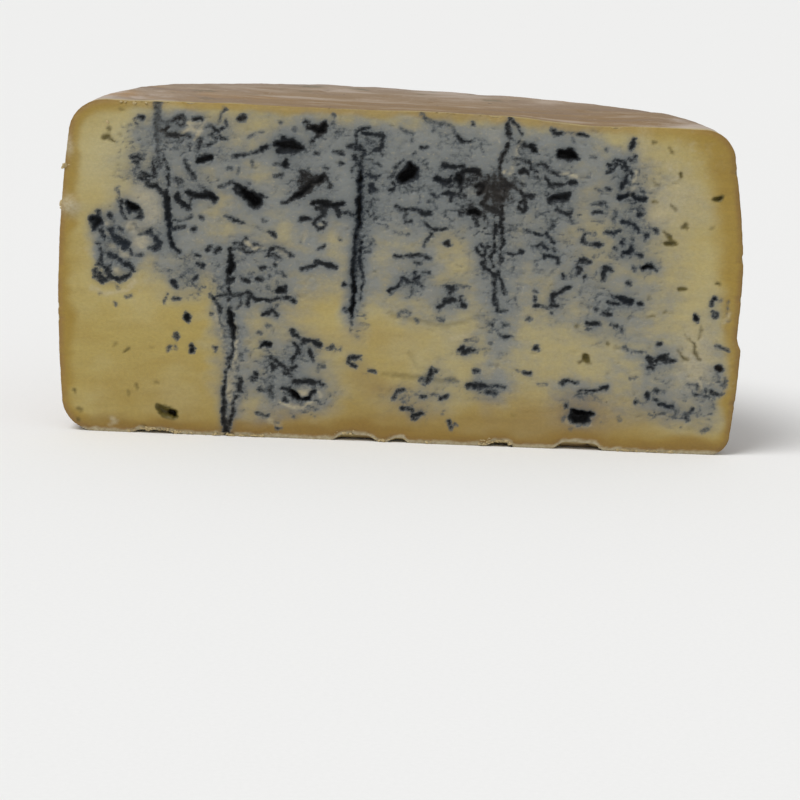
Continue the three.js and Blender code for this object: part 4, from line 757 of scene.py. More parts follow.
def spaced(line, count):
    """The line with count points evenly spaced along it."""
    lengths = np.concatenate([[0], np.cumsum(np.linalg.norm(np.diff(line, axis=0), axis=1))])
    places = np.linspace(0, lengths[-1], count)
    return np.stack([np.interp(places, lengths, line[:, axis]) for axis in range(line.shape[1])], -1)


# ---- What mould, curd and rind make of the cut ----


def clouds(spots, x, z, firm=1):
    """Soft-edged spots joined into one cover from 0 to 1; firmer ones are more even, with a narrower edge."""
    bare = np.ones(x.shape)
    for spot_x, spot_z, wide, high, strength in spots:
        distance = ((x - spot_x) / wide) ** 2 + ((z - spot_z) / high) ** 2
        bare = bare * (1 - min(strength, 0.98) * np.exp(-0.85 * distance**firm))
    return 1 - bare


# What the paste's material reads at each place of the cut: covers from 0 to 1, and deep in millimetres.
FIELDS = ("tone", "olive", "deep", "haze", "halo", "blue", "brown", "pale", "milk", "shade", "rim", "crust")


class Cut:
    """The fields of the cut at places x, z that lie edge millimetres inside its outline."""

    def __init__(self, x, z, edge):
        self.x, self.z, self.edge = x, z, edge
        # Marks are drawn at places that are pushed about a little, which makes their edges ragged.
        self.ragged_x = x + 0.8 * cut_noise(x, z, 2.8, 2.0, seed=1, octaves=3)
        self.ragged_z = z + 0.6 * cut_noise(x, z, 2.8, 2.0, seed=5, octaves=3)
        self.worn = 0.5 * cut_noise(x, z, 1.8, 1.3, seed=9, octaves=2) - 0.08
        self.broken = 1 - 0.5 * smooth(0.05, 0.6, cut_noise(x, z, 3.4, 2.2, seed=11, octaves=3))
        self.deep = np.zeros(x.shape)
        self.tone = self.drawn(MARKS)
        self.olive = self.drawn(OLIVE_MARKS)
        self.smudge()
        self.tint()

    def drawn(self, marks):
        """How dark the marks make each place; they are sunk into the cut too."""
        tone = np.zeros(self.x.shape)
        for mark in marks:
            darkness, depth, *numbers = np.array(mark) / 10
            places = np.reshape(numbers, (-1, 3))
            xs, zs, halves = places.T
            near = (self.x > xs.min() - MARK_MARGIN) & (self.x < xs.max() + MARK_MARGIN)
            near &= (self.z > zs.min() - MARK_MARGIN) & (self.z < zs.max() + MARK_MARGIN)
            x, z = self.ragged_x[near], self.ragged_z[near]
            inside = np.full(x.shape, -3.0 * MARK_MARGIN)
            for (ax, az, a), (bx, bz, b) in zip(places, places[1:]):
                length = (bx - ax) ** 2 + (bz - az) ** 2
                t = np.clip(((x - ax) * (bx - ax) + (z - az) * (bz - az)) / length, 0, 1)
                gap = np.hypot(x - mix(ax, bx, t), z - mix(az, bz, t))
                inside = np.maximum(inside, mix(a, b, t) - gap)
            inside += self.worn[near]
            solid = mix(self.broken[near], 1, min(depth / SOLID_DEPTH, 1))
            tone[near] = np.maximum(tone[near], darkness * solid * smooth(*MARK_EDGE, inside))
            sunk = depth * smooth(-0.35, 0.75 * halves.max(), inside)
            self.deep[near] = np.maximum(self.deep[near], sunk)
        return tone

    def tint(self):
        """The clouds, the painted shade along the base, the band and crust along the rind, and the pale curd.
        """
        # Clouds that reach over centimetres sway by millimetres, and the smaller ones sway less.
        slow = [cut_noise(self.x, self.z, 14, 9, seed=seed) for seed in (71, 72)]
        quick = [cut_noise(self.x, self.z, 5, 3, seed=seed) for seed in (73, 74)]
        x = self.x + 5 * slow[0] + 2 * quick[0]
        z = self.z + 4 * slow[1] + 1.5 * quick[1]
        warm = clouds(WARMED, x, z)
        self.haze = clouds(GREYED, x, z, 1.6) * (1 - 0.65 * warm)
        # Darker, oilier paste towards the base: painted shade along the lower edge, with some deeper paste.
        low = smooth(8, 0.5, self.z + 3 * cut_noise(self.x, self.z, 14, 5, seed=79, octaves=2))
        self.shade = np.maximum(clouds(SHADED, x, z), 0.95 * low)
        self.milk = np.maximum(clouds(MILKED, x, z), 0.4 * warm)
        x = self.x + 1.2 * cut_noise(self.x, self.z, 4, 3, seed=75, octaves=2)
        z = self.z + 1.0 * cut_noise(self.x, self.z, 4, 3, seed=77, octaves=2)
        self.blue = clouds(BLUED, x, z)
        self.brown = clouds(BROWNED, x, z)
        self.pale = clouds(PALED, x, z)
        ragged = self.edge + 2.5 * cut_noise(self.x, self.z, 11, 7, seed=81, octaves=2)
        to_right = smooth(40, 95, self.x) * smooth(30, 60, self.z)
        under_top = smooth(84, 90, self.z) * smooth(90, 75, np.abs(self.x))
        corner = smooth(74, 92, self.x) * smooth(80, 91, self.z)
        width = mix(BAND["left"], BAND["right"], to_right)
        width = width + BAND["under_top"] * under_top + BAND["corner"] * corner
        top = smooth(82, 92, self.z) * smooth(92, 78, np.abs(self.x))
        self.rim = np.maximum(smooth(width, 0.5, ragged) * (1 - 0.4 * top), clouds(OCHRED, self.x, self.z))
        self.crust = smooth(2.4, 0.3, self.edge) * (1 - 0.7 * top)
        ragged = self.z - torn_base(self.x, 0) + 0.6 * cut_noise(self.x, self.z, 2.4, 1.6, seed=91, octaves=2)
        flakes = clouds(CRUMBLED, x, z) * smooth(0.14, 0.55, cut_noise(x, z, 3.0, 2.1, seed=31, octaves=3))
        fringe = smooth(1.5, 0.6, ragged)
        self.pale = np.max([self.pale, self.drawn(PALE_MARKS), 0.75 * flakes, fringe], axis=0)

    def smudge(self):
        """Faint smudges and fine specks between the marks."""
        x, z = self.ragged_x, self.ragged_z
        sway = [cut_noise(x, z, 13, 10, seed=seed) for seed in (41, 42)]
        crowd = clouds(SMUDGED, x + 4 * sway[0], z + 3 * sway[1]) * smooth(3, 7, self.edge)
        soft = 0.16 + 0.26 * smooth(-0.5, 0.6, cut_noise(x, z, 5, 3.2, seed=19, octaves=2))
        islands = 0.7 * smooth(0.05, 0.6, cut_noise(x, z, 4.2, 2.4, seed=12, octaves=3))
        specks = 0.9 * smooth(0.25, 0.8, cut_noise(x, z, 2.0, 1.5, seed=15, octaves=2))
        curls = smooth(0.24, 0.0, np.abs(cut_noise(x, z, 4.6, 3.1, seed=23, octaves=2)))
        curls = 0.8 * curls * smooth(-0.3, 0.2, cut_noise(x, z, 6, 4, seed=25))
        faint = crowd * np.max([soft, islands, specks, curls], axis=0)
        self.tone = np.maximum(self.tone, faint)
        self.deep = np.maximum(self.deep, 0.9 * faint)
        self.halo = np.mean([blurred(self.tone, spread) for spread in HALO_SPREADS], axis=0)


def blurred(field, spread):
    """The field over the cut's grid, blurred over a spread in millimetres."""
    sigma = spread * CUT_COLUMNS / (2 * WHEEL_RADIUS)
    reach = int(3 * sigma)
    weights = np.exp(-np.arange(-reach, reach + 1) ** 2 / (2 * sigma**2))
    weights /= weights.sum()
    for axis in (0, 1):
        padding = [(reach, reach) if a == axis else (0, 0) for a in (0, 1)]
        padded = np.pad(field, padding, mode="edge")
        field = sum(
            w * np.take(padded, np.arange(i, i + field.shape[axis]), axis) for i, w in enumerate(weights)
        )
    return field


# ---- The body's mesh ----


class MeshParts:
    """Points and faces that are gathered into one mesh."""

    def __init__(self):
        self.points = []
        self.faces = []
        self.count = 0

    def add_points(self, points):
        points = np.asarray(points, float).reshape(-1, 3)
        self.points.append(points)
        first = self.count
        self.count += len(points)
        return np.arange(first, self.count)

    def add_grid(self, ids, kind):
        quads = np.stack([ids[:-1, :-1], ids[:-1, 1:], ids[1:, 1:], ids[1:, :-1]], -1).reshape(-1, 4)
        self.faces += [(tuple(quad), kind) for quad in quads.tolist()]

    def all_points(self):
        return np.concatenate(self.points)


def section_outline():
    """The outline of the cut from the middle of one rounded corner to the next: base, right, top, left."""
    rows = wall_rows()
    ends = wall(np.array([0.0, math.pi]), rows)
    right = ends[:, 0][:, [0, 2]]
    left = ends[:, 1][:, [0, 2]]
    base_middle = CORNER_ROWS // 2
    top_middle = len(rows) - 1 - CORNER_ROWS // 2
    steps = np.linspace(0, 1, 400)
    top_x = mix(left[-1, 0], right[-1, 0], steps)
    top_line = np.stack([top_x, top_height(top_x, 0)], -1)
    base_x = mix(left[0, 0], right[0, 0], steps)
    base_line = np.stack([base_x, torn_base(base_x, 0)], -1)
    base = np.concatenate([left[base_middle:0:-1], base_line, right[1 : base_middle + 1]])
    top = np.concatenate([left[top_middle:-1], top_line, right[-2 : top_middle - 1 : -1]])
    return (
        spaced(base, CUT_COLUMNS + 1),
        spaced(right[base_middle : top_middle + 1], CUT_ROWS + 1),
        spaced(top, CUT_COLUMNS + 1),
        spaced(left[base_middle : top_middle + 1], CUT_ROWS + 1),
    )


def loop_distance(x, z, loop):
    """Distance of each place of the cut from its outline."""
    flat = np.stack([x.ravel(), z.ravel()], -1)
    nearest = np.full(len(flat), np.inf)
    for point in loop[::2]:
        nearest = np.minimum(nearest, np.sum((flat - point) ** 2, axis=1))
    return np.sqrt(nearest).reshape(x.shape)


def stitch(parts, fine, coarse, kind):
    """Triangles between two closed loops of vertices that run the same way round from the same corner."""
    points = parts.all_points()

    def shares(loop):
        line = points[np.append(loop, loop[0])]
        lengths = np.cumsum(np.linalg.norm(np.diff(line, axis=0), axis=1))
        return np.append(0, lengths / lengths[-1])

    fine_at, coarse_at = shares(fine), shares(coarse)
    i = j = 0
    while i < len(fine) or j < len(coarse):
        here, there = fine[i % len(fine)], coarse[j % len(coarse)]
        if j == len(coarse) or (i < len(fine) and fine_at[i + 1] <= coarse_at[j + 1]):
            parts.faces.append(((here, fine[(i + 1) % len(fine)], there), kind))
            i += 1
        else:
            parts.faces.append(((here, coarse[(j + 1) % len(coarse)], there), kind))
            j += 1


def cap_edges(rim):
    """The right, back and left edges of a cap in its rim, running back from the cut or from left to right."""
    back, left = RIND_ROWS, RIND_ROWS + RIND_COLUMNS
    return rim[: back + 1], rim[back : left + 1][::-1], rim[left:][::-1]


def rind_grids():
    """The side, the top and the base behind the cut, as grids of (x, depth, height)."""
    rows = wall_rows()
    start = math.asin(RIND_START / WHEEL_RADIUS)
    angles = np.linspace(start, math.pi - start, 2 * RIND_ROWS + RIND_COLUMNS + 1)
    side = wall(angles, rows)
    caps = []
    for rim in (side[-1], side[0]):
        right, back, left = cap_edges(rim[:, :2])
        front = mix(left[0], right[0], np.linspace(0, 1, RIND_COLUMNS + 1)[:, None])
        caps.append(patch(front, back, left, right))
    top, base = caps
    top = np.concatenate([top, top_height(top[..., 0], top[..., 1])[..., None]], -1)
    base = np.concatenate([base, torn_base(base[..., 0], base[..., 1])[..., None]], -1)
    return side, top, base


def add_rind(parts):
    """Adds the rind's grids with their shared edges, and returns its front loop from the left base corner."""
    side, top, base = rind_grids()
    side_ids = parts.add_points(side).reshape(side.shape[:2])
    loops = []
    for cap, rim in ((top, side_ids[-1]), (base, side_ids[0])):
        ids = np.full(cap.shape[:2], -1)
        ids[:, -1], ids[-1, :], ids[:, 0] = cap_edges(rim)
        inner = cap[:-1, 1:-1]
        ids[:-1, 1:-1] = parts.add_points(inner).reshape(inner.shape[:2])
        parts.add_grid(ids, "rind")
        loops.append(ids[0])
    parts.add_grid(side_ids, "rind")
    top_front, base_front = loops
    loop = np.concatenate([base_front[:-1], side_ids[:-1, 0], top_front[::-1][:-1], side_ids[::-1, -1][:-1]])
    return np.roll(loop, CORNER_ROWS // 2)


def rind_normals(points, faces):
    """Outward normals of the rind at its points."""
    corners = np.array([face[:3] for face, kind in faces if kind == "rind"])
    a, b, c = (points[corners[:, i]] for i in range(3))
    flats = np.cross(b - a, c - a)
    normals = np.zeros_like(points)
    for i in range(3):
        np.add.at(normals, corners[:, i], flats)
    middle = np.array([0, 0.4 * WHEEL_RADIUS, HEIGHT / 2])
    facing = np.sign(np.sum(normals * (points - middle), axis=1, keepdims=True))
    return facing * normals / np.maximum(np.linalg.norm(normals, axis=1, keepdims=True), 1e-9)


def rind_relief(points):
    """How far the rind stands in or out at each point, and how much of a pin-hole or crack is there."""
    x, y, z = points.T
    slow = 0.28 * fractal(x / 16, y / 16, z / 11, 201, 2)
    pressed = 0.16 * noise(x / 9, y / 9, z / 1.9, 205)
    grain = 0.12 * fractal(x / 3.2, y / 3.2, z / 2.6, 206, 2)
    relief = np.minimum(slow + pressed + grain - 0.2, 0.15)
    holes = np.zeros(len(points))
    random = np.random.default_rng(77)
    places = points[random.integers(0, len(points), PIN_HOLES)]
    sizes = random.uniform(*PIN_HOLE_SIZES, PIN_HOLES) * random.uniform(0.8, 1.4, PIN_HOLES)
    for place, size in zip(places, sizes):
        distance = np.linalg.norm((points - place) * [1, 1, 1.3], axis=1)
        holes = np.maximum(holes, smooth(1.25 * size, 0.35 * size, distance))
    angle = np.degrees(np.arctan2(y, x))
    around = np.radians(angle) * WHEEL_RADIUS
    for start, low, long, lean in RIND_CRACKS:
        across = around - math.radians(start) * WHEEL_RADIUS - (z - low) * math.tan(math.radians(lean))
        across = across + 2.2 * noise(z / 7, start, 0, 208) + 1.1 * noise(z / 2.6, start, 0, 209)
        ends = smooth(low, low + 4, z) * smooth(low + long, low + long - 6, z)
        holes = np.maximum(holes, ends * smooth(1.0, 0.2, np.abs(across)) * (np.hypot(x, y) > 90))
    return relief - 1.1 * holes, holes


def front_relief(cut):
    """How far the cut's surface lies behind its plane, in millimetres."""
    x, z = cut.x, cut.z
    waves = 0.2 * cut_noise(x, z, 30, 12, seed=401) + 0.12 * cut_noise(x, z, 12, 2.2, seed=402)
    crumbly = 0.16 * cut_noise(x, z, 1.8, 1.4, seed=403, octaves=2) * (0.3 + cut.haze)
    pecked = 0.5 * smooth(0.35, 0.75, cut_noise(x, z, 2.6, 1.6, seed=405, octaves=2))
    pecked = pecked * smooth(0.15, 0.7, cut.haze + 0.8 * cut.halo)
    rounded = 0.5 * bump(cut.edge, 0.9)
    from_lump = np.hypot((x - LUMP["x"]) / LUMP["half_width"], (z - LUMP["z"]) / LUMP["half_height"])
    lump = LUMP["out"] * bump(from_lump, 1)
    return CUT_BACK + waves + crumbly + pecked + rounded + cut.deep - lump


def cut_plane():
    """Where the flat of the cut lies along Y: the place that most of the solid's vertices share."""
    places = [round(v.co.y, 5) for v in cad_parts["cheese"].data.vertices]
    values, counts = np.unique(places, return_counts=True)
    return values[counts.argmax()] / MM


def cut_grid(outline):
    """Places x, z of the cut's grid, spanned by its outline, and their distance from it."""
    corners = np.cumsum([0, CUT_COLUMNS, CUT_ROWS, CUT_COLUMNS, CUT_ROWS])
    edges = [outline[np.arange(a, b + 1) % len(outline)] for a, b in zip(corners, corners[1:])]
    flat = patch(edges[0], edges[2][::-1], edges[3][::-1], edges[1])
    x, z = flat[..., 0], flat[..., 1]
    return x, z, loop_distance(x, z, outline)


def cut_ids(loop, count):
    """Vertex numbers of the cut's grid: the loop's own round its edge, and new ones from count on inside."""
    ids = np.full((CUT_ROWS + 1, CUT_COLUMNS + 1), -1)
    ids[0, :] = loop[: CUT_COLUMNS + 1]
    ids[:, -1] = loop[CUT_COLUMNS : CUT_COLUMNS + CUT_ROWS + 1]
    ids[-1, ::-1] = loop[CUT_COLUMNS + CUT_ROWS : 2 * CUT_COLUMNS + CUT_ROWS + 1]
    ids[1:, 0] = loop[2 * CUT_COLUMNS + CUT_ROWS :][::-1]
    inner = ids[1:-1, 1:-1]
    inner[:] = count + np.arange(inner.size).reshape(inner.shape)
    return ids


def build_body(settings):
    """Points and faces of the half wheel, and the fields that its materials read at each point."""
    parts = MeshParts()
    coarse = add_rind(parts)
    base, right, top, left = section_outline()
    loop = np.concatenate([base[:-1], right[:-1], top[::-1][:-1], left[::-1][:-1]])
    fine = parts.add_points(np.stack([loop[:, 0], np.zeros(len(loop)), loop[:, 1]], -1))
    stitch(parts, fine, coarse, "rind")
    points = parts.all_points()
    normals = rind_normals(points, parts.faces)
    relief, holes = rind_relief(points)
    calm = mix(0.45, 1, smooth(0, 6, points[:, 1]))  # calmer beside the cut
    flat_base = smooth(0, 1.5, points[:, 2])
    points += normals * (relief * calm * flat_base * settings.rind_relief)[:, None]
    points[fine, 1] = 0

    x, z, edge = cut_grid(points[fine][:, [0, 2]])
    cut = Cut(x, z, edge)
    ids = cut_ids(fine, parts.count)
    points = np.concatenate([points, np.zeros((ids.max() + 1 - len(points), 3))])
    points[ids] = np.stack([x, front_relief(cut) * settings.cut_relief, z], -1)
    parts.add_grid(ids, "cut")

    fields = {name: np.zeros(len(points)) for name in ("pit", *FIELDS)}
    fields["pit"][: len(holes)] = holes
    fields["behind"] = points[:, 1]
    for name in FIELDS:
        fields[name][ids] = getattr(cut, name)
    return points, parts.faces, fields


def in_frame(points):
    """Points of (x, depth, height) in millimetres as places in the frame, kept inside the solid's box."""
    low, high = (np.array(corner) for corner in CAD_BOX)
    placed = (points + [0, cut_plane(), 0]) * MM
    return np.clip(placed, low, high)


def new_object(name, mesh):
    made = bpy.data.objects.new(name, mesh)
    bpy.context.scene.collection.objects.link(made)
    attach(made, "root")
    return made


# ---- Crumbs ----

CRUMBED_HALF = 88  # half the length of the edge that has crumbs
# Share of the crumbs, middle x and half width, height over the edge, smallest and largest radius.
CRUMB_PLACES = (
    (0.72, 2, CRUMBED_HALF, 0.7, 0.18, 0.75), (0.12, 28, 3, 2.0, 0.2, 0.55), (0.12, -68, 8, 0.8, 0.25, 0.8),
    (0.04, -10, 30, 1.8, 0.15, 0.35),
)
CLUSTERS = 30  # crumbs lie in loose clusters along that length
CLUSTER_SPREAD = 1.6
MOSTLY_SMALL = 2.2  # the power that makes small crumbs the most common
LUMPS = (  # crumbs that cling in lumps: middle x, z, spread, how many, smallest and largest radius
    (-97.2, 66.6, 1.8, 18, 0.6, 1.3), (-98.2, 78, 1.0, 5, 0.4, 0.8), (-80, 96.5, 8, 8, 0.3, 0.6),
)


def crumb_shape(random):
    """An angular crumb of radius 1: a ball pushed in and out, flattened and turned."""
    ball = bmesh.new()
    bmesh.ops.create_icosphere(ball, subdivisions=2, radius=1)
    points = np.array([vertex.co for vertex in ball.verts])
    faces = [[vertex.index for vertex in face.verts] for face in ball.faces]
    ball.free()
    shift = random.uniform(0, 9, 3)
    points *= 1 + 0.55 * noise(*(points * 1.3 + shift).T, 501)[:, None]
    points *= [1, random.uniform(0.5, 0.9), random.uniform(0.35, 0.8)]
    turn = random.uniform(-0.7, 0.7)
    x, z = points[:, 0].copy(), points[:, 2].copy()
    points[:, 0], points[:, 2] = x * np.cos(turn) - z * np.sin(turn), x * np.sin(turn) + z * np.cos(turn)
    return points, faces


def build_crumbs(count):
    """Crumbs of curd along the lower edge of the cut and in lumps, pressed into it by half of their size."""
    random = np.random.default_rng(12)
    places = []
    for share, middle, half, high, low, large in CRUMB_PLACES:
        clusters = max(1, round(CLUSTERS * half / CRUMBED_HALF))
        centres = middle + half * random.uniform(-1, 1, clusters)
        for _ in range(round(share * count)):
            x = random.choice(centres) + random.normal(0, CLUSTER_SPREAD)
            x = min(max(x, middle - half), middle + half)
            radius = mix(low, large, random.uniform() ** MOSTLY_SMALL)
            places.append((x, torn_base(x, 0) + high * random.uniform(0.1, 1), radius))
    for middle_x, middle_z, spread, many, low, large in LUMPS:
        for _ in range(many):
            x, z = random.normal((middle_x, middle_z), spread / 2)
            radius = random.uniform(low, large)
            places.append((x, min(z, top_height(x, 0) - 1.2 * radius), radius))
    points, faces = [], []
    for x, z, radius in places:
        shape, sides = crumb_shape(random)
        first = sum(len(group) for group in points)
        points.append(shape * radius + [x, 0.9 * radius + 0.1, max(z, 0.6 * radius)])
        faces += [[first + index for index in side] for side in sides]
    return np.concatenate(points), faces


# ---- Colours and materials ----


def linear(hex_colour):
    """An sRGB hex colour as linear red, green and blue."""
    channels = [int(hex_colour[i : i + 2], 16) / 255 for i in (1, 3, 5)]
    return tuple(c / 12.92 if c <= 0.04045 else ((c + 0.055) / 1.055) ** 2.4 for c in channels)


def add(tree, kind, inputs=None, **settings):
    """Adds a node, sets its properties and fills or links its inputs."""
    node = tree.nodes.new(kind)
    for name, value in settings.items():
        setattr(node, name, value)
    for key, value in (inputs or {}).items():
        if isinstance(value, bpy.types.NodeSocket):
            tree.links.new(value, node.inputs[key])
        else:
            node.inputs[key].default_value = value
    return node


def new_material(name):
    material = bpy.data.materials.new(name)
    material.use_nodes = True
    material.node_tree.nodes.clear()
    return material, material.node_tree


def attribute(tree, name):
    return add(tree, "ShaderNodeAttribute", attribute_name=name).outputs["Fac"]


def ramp(tree, value, low, high, bottom=0.0, top=1.0):
    """Takes a value from low to high over to bottom to top, eased at both ends."""
    settings = {"Value": value, "From Min": low, "From Max": high, "To Min": bottom, "To Max": top}
    return add(tree, "ShaderNodeMapRange", settings, interpolation_type="SMOOTHSTEP").outputs[0]


def maths(tree, operation, a, b):
    return add(tree, "ShaderNodeMath", {0: a, 1: b}, operation=operation).outputs[0]


def times(tree, a, b):
    return maths(tree, "MULTIPLY", a, b)


def plus(tree, a, b):
    return maths(tree, "ADD", a, b)


def noise_node(tree, place, size, detail, roughness=0.55, shift=0.0):
    """Noise with waves of the given size in millimetres along X, Y and Z; a size of 0 leaves an axis out."""
    scale = tuple(1 / s if s else 0 for s in size)
    inputs = {0: place, 1: scale, 2: (shift, shift, shift)}
    scaled = add(tree, "ShaderNodeVectorMath", inputs, operation="MULTIPLY_ADD").outputs[0]
    settings = {"Vector": scaled, "Scale": 1.0, "Detail": detail, "Roughness": roughness}
    return add(tree, "ShaderNodeTexNoise", settings).outputs["Fac"]


def millimetres(tree):
    objects = add(tree, "ShaderNodeTexCoord").outputs["Object"]
    return add(tree, "ShaderNodeVectorMath", {0: objects, 3: 1 / MM}, operation="SCALE").outputs[0]


def layered(tree, colour, layers):
    """Lays each colour over the one before it, by its factor."""
    for over, factor in layers:
        under, over = (c if isinstance(c, bpy.types.NodeSocket) else (*c, 1) for c in (colour, over))
        colour = add(tree, "ShaderNodeMix", {0: factor, 6: under, 7: over}, data_type="RGBA").outputs[2]
    return colour


def finished(material, colour, roughness, raised, strength, distance, **more):
    """Gives the material its colour, roughness and a bump of so many millimetres."""
    tree = material.node_tree
    relief = add(tree, "ShaderNodeBump", {"Height": raised, "Strength": strength, "Distance": distance * MM})
    inputs = {"Base Color": colour, "Roughness": roughness, "Normal": relief.outputs[0], **more}
    shader = add(tree, "ShaderNodeBsdfPrincipled", inputs)
    add(tree, "ShaderNodeOutputMaterial", {"Surface": shader.outputs[0]})
    return material


def paste_material(colours):
    """Ripened, wire-cut veined paste: moist, waxy and a little translucent, with dry mould in its eyes and
    painted shade at the bottom of the deep ones.
    """
    material, tree = new_material("wire_cut_veined_paste")
    # Only X and Z count over the cut, so that the walls of the eyes match what is round them.
    place = millimetres(tree)
    fields = [attribute(tree, name) for name in FIELDS]
    tone, olive, deep, haze, halo, blue, brown, pale, milk, shade, rim, crust = fields
    cloud = noise_node(tree, place, (24, 0, 17), 3.0)
    streak = noise_node(tree, place, (13, 0, 5), 3.0)
    warmth = noise_node(tree, place, (19, 0, 12), 2.0, 0.5, 13.0)
    curd = noise_node(tree, place, (5.5, 0, 3.6), 4.0)
    grain = noise_node(tree, place, (1.1, 0, 0.85), 3.0, 0.65)
    # Crumbs of curd and tufts of mould are finer than a millimetre; they are drawn a little coarser here.
    dusty = times(tree, ramp(tree, grain, 0.32, 0.68, -0.18, 0.18), ramp(tree, tone, 0.03, 0.4))
    dusty = times(tree, dusty, ramp(tree, brown, 0.3, 0.9, 1, 0.6))
    dark = plus(tree, maths(tree, "MAXIMUM", tone, times(tree, halo, 0.75)), dusty)
    dark = times(tree, dark, ramp(tree, pale, 0.1, 0.9, 1, 0.3))
    greyed = times(tree, haze, ramp(tree, curd, 0.3, 0.7, 0.75, 1.1))
    greyed = plus(tree, greyed, times(tree, halo, 0.7))
    fresh = times(tree, blue, ramp(tree, halo, 0.05, 0.5))
    milky = times(tree, ramp(tree, curd, 0.5, 0.72, 0, 0.55), ramp(tree, haze, 0.3, 0.9))
    ringed = times(tree, ramp(tree, greyed, 0.1, 0.4), ramp(tree, greyed, 0.8, 0.4, 0, 0.22))
    rusty = times(tree, crust, ramp(tree, streak, 0.3, 0.55, 0.35, 0.75))
    # Pale flecks over the greyed paste: painted highlights of its crumbly relief, with specks of pale curd.
    fleck = noise_node(tree, place, (1.5, 0, 1.1), 2.0, 0.5, 7.0)
    highlight_flecks = times(tree, ramp(tree, fleck, 0.58, 0.74, 0, 0.4), ramp(tree, greyed, 0.3, 0.8))
    layers = (
        (colours.paste_pale, ramp(tree, cloud, 0.45, 0.72)),
        (colours.paste_streak, ramp(tree, streak, 0.55, 0.3, 0, 0.3)),
        (colours.paste_ochre, ramp(tree, warmth, 0.48, 0.7, 0, 0.3)),
        (colours.paste_milky, times(tree, milk, 0.8)),
        (colours.paste_greyed, ramp(tree, greyed, 0.12, 1.0)),
        (colours.paste_milky, ringed),
        (colours.paste_curd, milky),
        (colours.white_curd_and_highlights, highlight_flecks),
        (colours.paste_blued, times(tree, fresh, 0.45)),
        (colours.paste_ochre, ramp(tree, rim, 0.1, 0.9, 0, 0.85)),
        # Oily paste, and painted shade along the base of the cut.
        (colours.paste_oily_and_base_shade, times(tree, shade, 0.8)),
        (colours.rind_edge, rusty),
        (colours.white_curd_and_highlights, times(tree, pale, ramp(tree, grain, 0.3, 0.6, 0.6, 1))),
        (colours.mould_olive, ramp(tree, olive, 0.05, 0.75)),
        # Painted shade: the olive eyes darken towards their bottoms, over the olive mould.
        (colours.olive_hollow_shade, times(tree, olive, ramp(tree, deep, 0.9, 2.4))),
        (colours.mould_grey, ramp(tree, dark, 0.02, 0.5, 0, 0.85)),
    )
    colour = layered(tree, colours.paste_clear, layers)
    ink = layered(tree, colours.mould_dark, ((colours.mould_blue, blue), (colours.mould_brown, brown)))
    # Painted shade: near black at the bottom of the deep eyes, over the dark mould.
    hollow_shade = times(tree, ramp(tree, deep, 1.2, 2.6), ramp(tree, tone, 0.5, 0.9))
    layers = ((ink, ramp(tree, dark, 0.36, 0.86, 0, 0.96)), (colours.hollow_shade, hollow_shade))
    colour = layered(tree, colour, layers)
    mottled = ramp(tree, grain, 0.25, 0.75, 0.94, 1.06)
    colour = add(tree, "ShaderNodeVectorMath", {0: colour, 3: mottled}, operation="SCALE").outputs[0]

    crumbly = times(tree, grain, ramp(tree, greyed, 0.1, 0.8, 0.35, 1))
    raised = plus(tree, crumbly, times(tree, noise_node(tree, place, (0.5, 0, 0.4), 2.0), 0.5))
    roughness = plus(tree, ramp(tree, grain, 0.3, 0.7, 0.42, 0.56), times(tree, dark, 0.35))
    glow = {"Subsurface Weight": 0.1, "Subsurface Radius": (1.0, 0.7, 0.35), "Subsurface Scale": 0.8 * MM}
    return finished(material, colour, roughness, raised, 0.5, 0.35, IOR=1.4, **glow)


